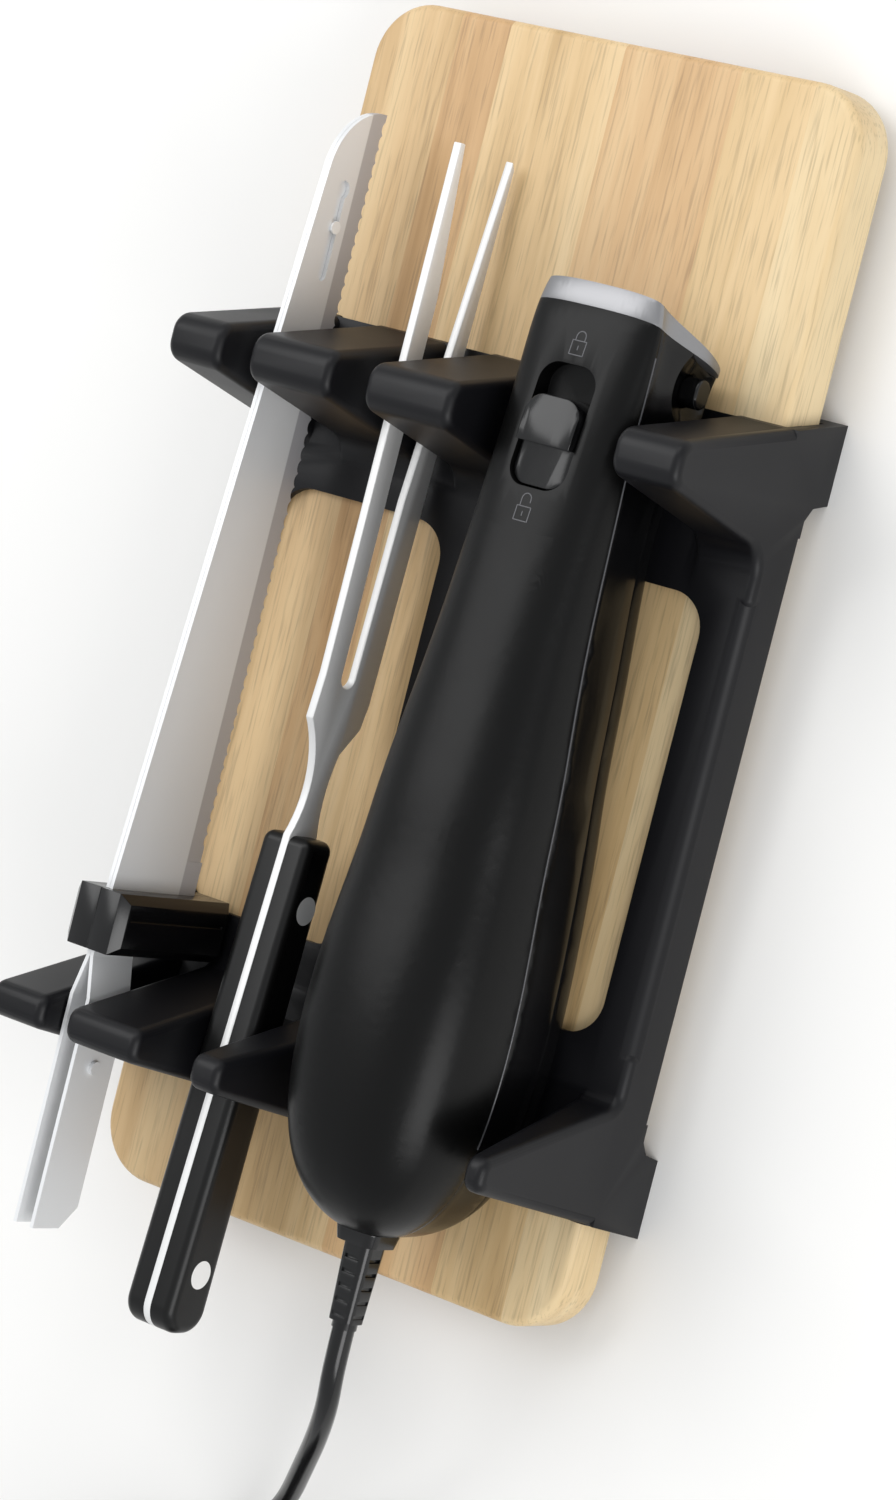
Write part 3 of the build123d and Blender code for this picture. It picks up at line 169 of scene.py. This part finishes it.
STAVE_TONES = (
    ("#D6BB8F", "#CCAD80", "#B69465"),
    ("#CFAF83", "#C49F72", "#AC875A"),
    ("#DAC095", "#D0B284", "#BB9B6C"),
    ("#D1B286", "#C7A376", "#B08C5F"),
    ("#D7BB8E", "#CCAE7F", "#B89767"),
    ("#DDC79E", "#D5BB8F", "#C3A678"),
)
STAVE_OFFSET = 0.31   # metres between the parts of the pattern that two staves show
staves = [oiled_wood(f"oiled_beech_{i}", *tones, offset=STAVE_OFFSET * i)
          for i, tones in enumerate(STAVE_TONES, 1)]
print("wood tones", len(staves))


# %% [markdown]
# ## Moulded plastic
#
# The tray and the knife's shells are moulded ABS. The mould's spark texture leaves
# grains of about a tenth of a millimetre, too fine to show here, so they are drawn
# four times as coarse and very shallow. The sheen comes from the roughness, which
# varies a little where hands have polished the surface.

# %% Moulded plastics
SPARK_MM, SPARK_DEPTH_MM = 0.4, 0.2
WEAR_PER_METRE, WEAR_CHANGE = 22.0, 0.035
ABS_IOR, LACQUER_METALLIC = 1.53, 0.7


def moulded(name, colour, roughness, spark=0.08, gloss=0.5):
    """Moulded plastic with a fine spark texture; gloss is the surface's specular level."""
    material, tree, surface = new_material(name)
    where = put(tree, "ShaderNodeTexCoord")
    spark_grain = put(tree, "ShaderNodeTexNoise", {"Scale": 1 / (SPARK_MM * MM), "Detail": 1.0},
                      Vector=where.outputs["Object"])
    wear = put(tree, "ShaderNodeTexNoise", {"Scale": WEAR_PER_METRE, "Detail": 3.0},
               Vector=where.outputs["Object"])
    sheen = put(tree, "ShaderNodeMapRange", {"From Min": 0.3, "From Max": 0.7,
                                             "To Min": roughness - WEAR_CHANGE,
                                             "To Max": roughness + WEAR_CHANGE},
                Value=wear.outputs["Fac"])
    bump = put(tree, "ShaderNodeBump", {"Strength": spark, "Distance": SPARK_DEPTH_MM * MM},
               Height=spark_grain.outputs["Fac"])
    surface.inputs["Base Color"].default_value = linear(colour)
    surface.inputs["IOR"].default_value = ABS_IOR
    surface.inputs["Specular IOR Level"].default_value = gloss
    tree.links.new(sheen.outputs["Result"], surface.inputs["Roughness"])
    tree.links.new(bump.outputs["Normal"], surface.inputs["Normal"])
    return material


# The tray's wide satin faces spread the light. The shell is a deeper black, because
# it curves away from the room, and the lower shell is a little glossier.
tray_abs = moulded("satin_black_abs_tray", "#0E0E11", 0.42, gloss=0.24)
shell_abs = moulded("satin_black_abs_shell", "#060606", 0.33, gloss=0.17)
base_abs = moulded("semi_gloss_black_abs", "#060607", 0.22, gloss=0.26)
# Switches and guards come from a polished mould and show small sharp highlights. The
# fork's acetal scales are even and slightly waxy.
control_abs = moulded("polished_black_abs", "#0A0A0B", 0.2, spark=0.03, gloss=0.4)
handle_abs = moulded("black_fork_scale_pom", "#0B0B0B", 0.34, gloss=0.26)
# Flakes of metal in the collar's lacquer give a soft grey highlight.
silver_paint = moulded("silver_lacquer_on_abs", "#8C8C8E", 0.36, spark=0.05)
silver_paint.node_tree.nodes["Principled BSDF"].inputs["Metallic"].default_value = LACQUER_METALLIC
# Gears and carriers are milky nylon, the fan and the frame plain pale plastic.
nylon = moulded("natural_nylon", "#DAD6C8", 0.45)
fan_abs = moulded("grey_white_abs", "#C5C3BC", 0.5)
# Soft vinyl draws one wet-looking line of light along the cord.
cord_pvc = moulded("glossy_black_pvc_cord", "#0A0A0B", 0.2, spark=0.02, gloss=0.4)
# Pressed carbon is matt and dark grey.
carbon = moulded("pressed_carbon", "#242424", 0.6)
print("materials so far", len(bpy.data.materials))


# %% [markdown]
# ## Metal
#
# Blades and fork are rolled stainless steel, ground lengthwise, so the light is drawn
# out across the grinding lines. The lines are about 0.3 mm apart. The blades' cutting
# edge is ground once more, and a darker band under a straight line paints the shade
# that this bevel takes. Rivets and bushes are turned on a lathe. All metals keep the
# default IOR, and only the colour, the roughness and the scratch pattern tell them apart.

# %% Metals
GRIND_MM, GRIND_DEPTH_MM = 0.3, 0.1
HAZE_PER_METRE, HAZE_CHANGE = 14.0, 0.06


def ground_metal(name, colour, roughness, along=(1.0, 0.02, 1.0), depth=0.05, metallic=1.0):
    """Metal with fine lines along the axis whose share is small.

    Ground steel scatters light like a matt surface across its lines. A low metallic
    value stands for that on the blades, fork and rivets, and keeps them bright from
    the side.
    """
    material, tree, surface = new_material(name)
    lines = put(tree, "ShaderNodeTexNoise", {"Scale": 1 / (GRIND_MM * MM), "Detail": 2.0},
                Vector=grain_place(tree, along))
    cloud = put(tree, "ShaderNodeTexNoise", {"Scale": HAZE_PER_METRE, "Detail": 2.0},
                Vector=grain_place(tree, (1, 1, 1)))
    haze = put(tree, "ShaderNodeMath", {"operation": "ADD"})
    tree.links.new(lines.outputs["Fac"], haze.inputs[0])
    tree.links.new(cloud.outputs["Fac"], haze.inputs[1])
    rough = put(tree, "ShaderNodeMapRange", {"From Min": 0.6, "From Max": 1.4,
                                             "To Min": roughness - HAZE_CHANGE,
                                             "To Max": roughness + HAZE_CHANGE},
                Value=haze.outputs[0])
    bump = put(tree, "ShaderNodeBump", {"Strength": depth, "Distance": GRIND_DEPTH_MM * MM},
               Height=lines.outputs["Fac"])
    surface.inputs["Base Color"].default_value = linear(colour)
    surface.inputs["Metallic"].default_value = metallic
    tree.links.new(rough.outputs["Result"], surface.inputs["Roughness"])
    tree.links.new(bump.outputs["Normal"], surface.inputs["Normal"])
    return material


# the darker grey below this line is painted shade on the blade's ground bevel
BEVEL_TOP_MM, BEVEL_FADE_MM = 43.5, 0.4   # height of the band's line, width of its blur
BLADE_FACE, BLADE_BEVEL_SHADE = "#E0E1E2", "#B9B9BD"


def bevel_shade_band(material, ground, face):
    """Darker colour below the line where the blade's cutting edge is ground: painted shade of that bevel.
    """
    tree = material.node_tree
    where = put(tree, "ShaderNodeTexCoord")
    height = put(tree, "ShaderNodeSeparateXYZ", Vector=where.outputs["Object"])
    above = put(tree, "ShaderNodeMapRange", {"From Min": (BEVEL_TOP_MM - BEVEL_FADE_MM) * MM,
                                             "From Max": BEVEL_TOP_MM * MM}, Value=height.outputs["Z"])
    tree.links.new(ramp(tree, above.outputs["Result"], ((0.0, ground), (1.0, face))),
                   tree.nodes["Principled BSDF"].inputs["Base Color"])


blade_steel = ground_metal("ground_stainless_blade", BLADE_FACE, 0.4, metallic=0.2)
# painted shade along the bevel of the cutting edge
bevel_shade_band(blade_steel, BLADE_BEVEL_SHADE, BLADE_FACE)
fork_steel = ground_metal("satin_stainless_fork", "#E0E0DF", 0.36, metallic=0.15)
rivet_metal = ground_metal("turned_aluminium_rivet", "#EDEDEC", 0.34, along=(0.1, 1, 1), metallic=0.1)
# Plated steel is a half bright grey, and a ground shaft has narrow bright highlights.
motor_steel = ground_metal("plated_steel_can", "#A9A9AC", 0.35)
shaft_steel = ground_metal("ground_steel_shaft", "#B4B4B6", 0.2, along=(1, 1, 1))
screw_steel = ground_metal("plated_screw_steel", "#8F8F92", 0.35, along=(1, 1, 1))
# Pressed bronze is dull and brown, brass yellow and bright, and lacquered copper wire
# shows as red lines. Ferrite is as matt and dark as slate.
bronze = ground_metal("sintered_bronze", "#A9804C", 0.45, along=(1, 1, 1))
brass = ground_metal("plated_brass", "#C9AE6A", 0.28, along=(1, 1, 1))
copper = ground_metal("wound_copper", "#B0663C", 0.35, along=(0.05, 1, 1))
ferrite = ground_metal("sintered_ferrite", "#4A4A4C", 0.7, along=(1, 1, 1))
print("materials", len(bpy.data.materials))

# %% [markdown]
# Each solid gets the finish of its real counterpart by its place in this table. The
# pieces hidden inside the housing get theirs too, for whoever opens it.

# %% Finish of each solid
FINISH = {
    tray_abs: ["storage_tray"],
    shell_abs: ["top_cover"],
    base_abs: ["mid_housing", "base_cover"],
    control_abs: ["lock_slider", "trigger", "release_button_left", "release_button_right",
                  "blade_guard_left", "blade_guard_right", "switch_body"],
    silver_paint: ["nose_collar"],
    handle_abs: ["fork_scale_left", "fork_scale_right"],
    cord_pvc: ["strain_relief", "power_cord", "cord_coil", "cord_tail", "cord_tie", "plug_body"],
    nylon: ["drive_gear", "blade_carrier_left", "blade_carrier_right"],
    fan_abs: ["motor_end_cap", "motor_fan", "gearbox_frame"],
    carbon: ["brushes"],
    blade_steel: ["blade_left", "blade_right"],
    fork_steel: ["fork_blade"],
    rivet_metal: ["fork_rivets", "blade_rivet"],
    motor_steel: ["motor_can"],
    shaft_steel: ["worm_shaft", "gear_axle", "trigger_spring"],
    screw_steel: ["housing_screws"],
    bronze: ["rear_bush", "front_bush", "nose_bush"],
    brass: ["commutator", "plug_pins"],
    copper: ["armature_core"],
    ferrite: ["motor_magnets"],
}


def finish_with(piece, material):
    """Give a piece one material in place of those that it has."""
    piece.data.materials.clear()
    piece.data.materials.append(material)


for material, names in FINISH.items():
    for name in names:
        finish_with(nodes[name], material)
for number, material in enumerate(staves, 1):
    finish_with(nodes[f"board_stave_{number}"], material)
print("solids with a finish", sum(len(names) for names in FINISH.values()) + len(staves))

# %% [markdown]
# ## Rounded pieces
#
# The solids arrive as flat triangles, which show as facets on a curved shell. A copy
# with its doubled corners merged can be shaded smooth, and a narrow bevel gives each
# outer edge the thin highlight that a moulded edge has. The copy stands for the solid.

# %% Smooth copies of the curved solids
# solid: body that its copy rides on, bevel in mm, and its own limit for smooth shading
SOFTENED = {
    "storage_tray": ("tray", 0.5, 30),
    "nose_collar": ("knife", 0.3),
    "top_cover": ("knife", 0.8),
    "mid_housing": ("knife", 0.5),
    "base_cover": ("knife", 0.3),
    "lock_slider": ("slider", 0.25),
    "strain_relief": ("knife", 0.2),
    "plug_body": ("knife", 0.4),
    "fork_scale_left": ("fork", 0.0),
    "fork_scale_right": ("fork", 0.0),
    "fork_blade": ("fork", 0.25),
    "fork_rivets": ("fork", 0.0),
    "blade_guard_left": ("blade_pair", 0.3),
    "blade_guard_right": ("second_blade", 0.3),
    "release_button_left": ("button_left", 0.0),
    "release_button_right": ("button_right", 0.0),
    "trigger": ("trigger_pad", 0.0),
    **{f"board_stave_{i}": ("board", 0.0) for i in range(1, len(staves) + 1)},
}
MERGE_MM, FLAT_DEGREES = 0.02, 1.0        # corners that are one, faces that are one plane
EDGE_DEGREES, EDGE_SEGMENTS = 38, 2       # edges sharper than this get the bevel
SMOOTH_DEGREES = 35                       # edges flatter than this are shaded smooth


def select_only(piece):
    """Make a piece the one selected and active object."""
    bpy.ops.object.select_all(action="DESELECT")
    piece.select_set(True)
    bpy.context.view_layer.objects.active = piece


def softened(name, body, edge_mm, smooth_degrees=SMOOTH_DEGREES):
    """Merged copy of a solid, shaded smooth, with a narrow bevel on its sharp edges."""
    piece = bpy.data.objects.new(f"{name}_surface", nodes[name].data.copy())
    bpy.context.scene.collection.objects.link(piece)
    select_only(piece)
    bpy.ops.object.mode_set(mode="EDIT")
    bpy.ops.mesh.select_all(action="SELECT")
    bpy.ops.mesh.remove_doubles(threshold=MERGE_MM * MM)
    bpy.ops.mesh.dissolve_limited(angle_limit=math.radians(FLAT_DEGREES))
    bpy.ops.object.mode_set(mode="OBJECT")
    if edge_mm:
        bevel = piece.modifiers.new("edge", "BEVEL")
        bevel.width, bevel.segments = edge_mm * MM, EDGE_SEGMENTS
        bevel.limit_method, bevel.angle_limit = "ANGLE", math.radians(EDGE_DEGREES)
        bevel.use_clamp_overlap = True
        bpy.ops.object.modifier_apply(modifier="edge")
    bpy.ops.object.shade_smooth_by_angle(angle=math.radians(smooth_degrees))
    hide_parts(name)
    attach(piece, body)
    return piece


surfaces = {name: softened(name, *how) for name, how in SOFTENED.items()}
print("softened", len(surfaces), "faces", sum(len(s.data.polygons) for s in surfaces.values()))

# %% [markdown]
# ## Lock signs
#
# Beyond each end of the slider a small padlock outline is moulded into the shell, a
# closed one towards the nose and an open one towards the grip. Each is a thin line
# laid on the crown: its points are drawn flat, dropped on the shell by a ray, and
# given a round section. They are plain signs of the kind found on any such control.

# %% Round lines on the shell
def round_line(name, paths, radius_mm, rings, material):
    """Round line along paths of points on the shell, made a mesh."""
    data = bpy.data.curves.new(name, "CURVE")
    data.dimensions, data.bevel_depth, data.bevel_resolution = "3D", radius_mm * MM, rings
    for path in paths:
        spline = data.splines.new("POLY")
        spline.points.add(len(path) - 1)
        for point, place in zip(spline.points, path):
            point.co = (*place, 1.0)
    piece = bpy.data.objects.new(name, data)
    bpy.context.scene.collection.objects.link(piece)
    select_only(piece)
    bpy.ops.object.convert(target="MESH")
    piece = bpy.context.object
    finish_with(piece, material)
    return piece


# %% Lock signs
SIGN_LINE, SIGN_RINGS, SIGN_GAP = 0.17, 1, 0.3
SIGN_W, SIGN_H, ARCH_W, ARCH_H, ARCH_STEPS = 4.6, 4.0, 3.0, 2.4, 8
CLOSED_AT, OPEN_AT, OPEN_LIFT = (40.0, 105.6), (40.0, 58.6), 1.0
ABOVE_KNIFE = 200.0


def sign_lines(lift):
    """Flat outline of a padlock about its body's middle; lift raises an open shackle."""
    w, h, a = SIGN_W / 2, SIGN_H / 2, ARCH_W / 2
    body = [(-w, -h), (w, -h), (w, h), (-w, h), (-w, -h)]
    turns = [math.pi * i / ARCH_STEPS for i in range(ARCH_STEPS + 1)]
    bow = [(-a * math.cos(t), h + lift + ARCH_H / 2 + a * math.sin(t)) for t in turns]
    arch = [(-a, h), *bow, (a, h + (lift and ARCH_H / 2))]
    key = [(0, h / 3), (0, -h / 3)]
    return [body, arch, key]


def dense(points):
    """Points no more than SIGN_GAP apart along a polyline."""
    out = [points[0]]
    for a, b in zip(points, points[1:]):
        count = max(1, math.ceil(math.dist(a, b) / SIGN_GAP))
        out += [(a[0] + (b[0] - a[0]) * i / count, a[1] + (b[1] - a[1]) * i / count)
                for i in range(1, count + 1)]
    return out


def drop(x, y):
    """Place on the top cover straight below a point, in metres."""
    above = Vector((x * MM, y * MM, ABOVE_KNIFE * MM))
    return surfaces["top_cover"].ray_cast(above, Vector((0, 0, -1)))[1]


def lay_sign(name, at, lift):
    """A padlock sign laid on the top cover at a place in X and Y."""
    paths = [[drop(at[0] + x, at[1] + y) for x, y in dense(points)] for points in sign_lines(lift)]
    sign = round_line(name, paths, SIGN_LINE, SIGN_RINGS, sign_ink)
    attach(sign, "knife")
    return sign


sign_ink = moulded("raised_grey_sign", "#5C5C5F", 0.4, spark=0.02)
signs = [lay_sign("sign_closed_lock", CLOSED_AT, 0.0), lay_sign("sign_open_lock", OPEN_AT, OPEN_LIFT)]
print("signs", [len(sign.data.polygons) for sign in signs])

# %% [markdown]
# ## Seam
#
# The top cover meets the lower shell on a line along each side of the knife. The
# cover's moulded edge stands a hair proud there and is polished by the mould, so it
# catches the light as one fine bright line from the collar to the grip's widest place.
# That line is a painted highlight: a thin bead of lighter grey whose points are found
# on the cover by rays from the side.

# %% Seam beads
SEAM_Z, SEAM_LINE, SEAM_RINGS = 58.5, 0.3, 2
SEAM_Y0, SEAM_Y1, SEAM_STEP = -112.0, 108.0, 4.0
KNIFE_X, BESIDE_KNIFE, LEAST_HALF = 40.0, 160.0, 10.0   # middle, the rays' start, least half width


def lay_seam(name, side):
    """Bead along the lower edge of the top cover on one side of the knife."""
    path = []
    for step in range(int((SEAM_Y1 - SEAM_Y0) / SEAM_STEP) + 1):
        beside = Vector(((KNIFE_X + side * BESIDE_KNIFE) * MM, (SEAM_Y0 + step * SEAM_STEP) * MM,
                         SEAM_Z * MM))
        hit, place, _, _ = surfaces["top_cover"].ray_cast(beside, Vector((-side, 0, 0)))
        if hit and abs(place.x - KNIFE_X * MM) > LEAST_HALF * MM:
            path.append(place)
    bead = round_line(name, [path], SEAM_LINE, SEAM_RINGS, seam_highlight_grey)
    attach(bead, "knife")
    return len(path)


# the bead's lighter grey is a painted highlight along the cover's edge
seam_highlight_grey = moulded("painted_seam_highlight_grey", "#4A4A4D", 0.18, spark=0.0)
print("seam points", lay_seam("seam_right", 1), lay_seam("seam_left", -1))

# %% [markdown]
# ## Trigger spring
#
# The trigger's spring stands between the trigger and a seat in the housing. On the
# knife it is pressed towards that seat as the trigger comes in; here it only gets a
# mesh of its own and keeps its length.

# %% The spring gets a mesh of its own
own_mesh(nodes["trigger_spring"])

# %% [markdown]
# ## Cord
#
# The cord leaves the strain relief, sags to the table and runs on to a tied coil with
# the plug beside it. It is one smooth NURBS line with a round bevel, which bends like
# vinyl and not like wire. The coil's control points come from the same spiral as the
# solid's: half turns whose radius steps in and out, and a climb between the layers.

# %% Cord route
# X, Y and Z of the free run in mm, and steps along, aside and up for the tail
CORD_D = 6.4
CORD_ROUTE = ((40.0, -172.0, 58.0), (40.0, -184.0, 58.0), (38.0, -195.5, 53.5), (31.0, -207.5, 44.5),
              (20.0, -220.5, 31.5), (7.0, -235.5, 16.0), (-8.0, -251.5, 6.2), (-20.3, -264.6, 4.6),
              (-32.8, -278.0, 4.6))
COIL_R, COIL_STEP, COIL_CLIMB = 41.0, 8.2, 8.0
COIL_LAYERS, COIL_TURNS = 4, 3
TAIL_STEPS = ((16.0, 0.0, 0.0), (31.0, 0.0, -5.0), (46.0, 4.0, -14.0), (61.0, 11.0, -21.0),
              (75.0, 22.0, -23.6), (87.0, 36.0, -23.6))
POINTS_PER_HALF = 8
UP = Vector((0, 0, 1))

start = Vector(CORD_ROUTE[-1])
heading = (start - Vector(CORD_ROUTE[-2])).normalized()
outward = Vector((heading.y, -heading.x, 0))
centre = start + heading * CORD_D - outward * COIL_R


def half_turn(radius, next_radius, side, lift, climb):
    """Control points of one half turn, without its first point."""
    reach = 1 / math.cos(math.pi / POINTS_PER_HALF / 2)   # control points stand outside the line
    points = []
    for step in range(1, POINTS_PER_HALF + 1):
        share = step / POINTS_PER_HALF
        turn = math.pi * share
        r = (radius + (next_radius - radius) * share) * reach
        rise = climb * (1 - math.cos(turn)) / 2
        points.append(centre + outward * (side * r * math.cos(turn))
                      + heading * (side * r * math.sin(turn)) + UP * (lift + rise))
    return points


radius, side, lift, step = COIL_R, 1, 0.0, -COIL_STEP / 2
coil = [start + heading * CORD_D]
for layer in range(COIL_LAYERS):
    for _ in range(COIL_TURNS - (1 if layer == COIL_LAYERS - 1 else 0)):
        coil += half_turn(radius, radius + step, side, lift, 0)
        radius, side = radius + step, -side
    if layer < COIL_LAYERS - 1:
        coil += half_turn(radius, radius, side, lift, COIL_CLIMB)
        side, lift, step = -side, lift + COIL_CLIMB, -step
end = coil[-1] + heading * side * CORD_D
tail_way = heading * side
aside = UP.cross(tail_way)
tail = [end] + [end + tail_way * a - aside * b + UP * c for a, b, c in TAIL_STEPS]
route = [Vector(p) for p in CORD_ROUTE] + coil + tail
print("cord control points", len(route))

# %% Cord
ROUND_STEPS, LINE_STEPS, LINE_ORDER = 4, 6, 3
line = bpy.data.curves.new("vinyl_cord", "CURVE")
line.dimensions = "3D"
line.bevel_depth, line.bevel_resolution = CORD_D / 2 * MM, ROUND_STEPS
line.resolution_u = LINE_STEPS
spline = line.splines.new("NURBS")
spline.points.add(len(route) - 1)
for point, place in zip(spline.points, route):
    point.co = (*(place * MM), 1.0)
spline.order_u = LINE_ORDER
spline.use_endpoint_u = True
spline.use_smooth = True
cord = bpy.data.objects.new("vinyl_cord", line)
bpy.context.scene.collection.objects.link(cord)
line.materials.append(cord_pvc)
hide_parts("power_cord", "cord_coil", "cord_tail")
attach(cord, "knife")

# %% [markdown]
# ## Camera
#
# The camera stands where the photograph was taken from, high over the right edge. It
# was fitted to the board's corners: the three rows below are its right, down and
# forward directions. Its focal length is given as a share of the picture's height.

# %% Camera
RIGHT, DOWN, FORWARD = (0.7844, 0.2454, -0.5696), (0.2444, -0.9664, -0.0797), (-0.57, -0.0767, -0.818)
CAMERA_AT = (0.7913, 0.0929, 1.1561)
FOCAL_SHARE = 4868 / 1500
SENSOR_H = 24.0
camera_data = bpy.data.cameras.new("camera")
camera_data.sensor_fit = "VERTICAL"
camera_data.sensor_height = SENSOR_H
camera_data.lens = SENSOR_H * FOCAL_SHARE
camera = bpy.data.objects.new("camera", camera_data)
turn = Matrix((RIGHT, [-v for v in DOWN], [-v for v in FORWARD])).transposed().to_4x4()
camera.matrix_world = Matrix.Translation(CAMERA_AT) @ turn
bpy.context.scene.collection.objects.link(camera)
bpy.context.scene.camera = camera

# %% [markdown]
# ## Table and light
#
# A pale table and large soft lights, as in a studio: one wide light over the set's
# upper left for the shape, a weaker one from the right to lift the tray's side, and a
# pale world that fills the shadows.

# %% Table
TABLE_SIZE, TABLE_COLOUR, TABLE_ROUGHNESS = 6.0, "#E9E8E6", 0.8
bpy.ops.object.select_all(action="DESELECT")
bpy.ops.mesh.primitive_plane_add(size=TABLE_SIZE, location=(0, 0, 0))
table = bpy.context.object
table.name = "table"
table_paint, _, surface = new_material("matt_white_table")
surface.inputs["Base Color"].default_value = linear(TABLE_COLOUR)
surface.inputs["Roughness"].default_value = TABLE_ROUGHNESS
finish_with(table, table_paint)

# %% Lights
# name, place and size in metres, power in watts
LIGHTS = (("key", (-0.9, 0.7, 1.6), 1.4, 18.0), ("side", (1.5, -0.6, 0.9), 1.0, 14.0),
          ("top", (0.2, 1.6, 1.4), 1.2, 8.0))
WORLD_COLOUR, WORLD_STRENGTH = "#F4F6F8", 0.75
for name, place, size, power in LIGHTS:
    lamp = bpy.data.lights.new(name, "AREA")
    lamp.size, lamp.energy = size, power
    holder = bpy.data.objects.new(name, lamp)
    holder.location = place
    holder.rotation_euler = (-Vector(place)).to_track_quat("-Z", "Y").to_euler()
    bpy.context.scene.collection.objects.link(holder)
world = bpy.data.worlds.new("studio")
bpy.context.scene.world = world
world.use_nodes = True
background = world.node_tree.nodes["Background"]
background.inputs["Color"].default_value = linear(WORLD_COLOUR)
background.inputs["Strength"].default_value = WORLD_STRENGTH
bpy.context.scene.view_settings.view_transform = "Standard"
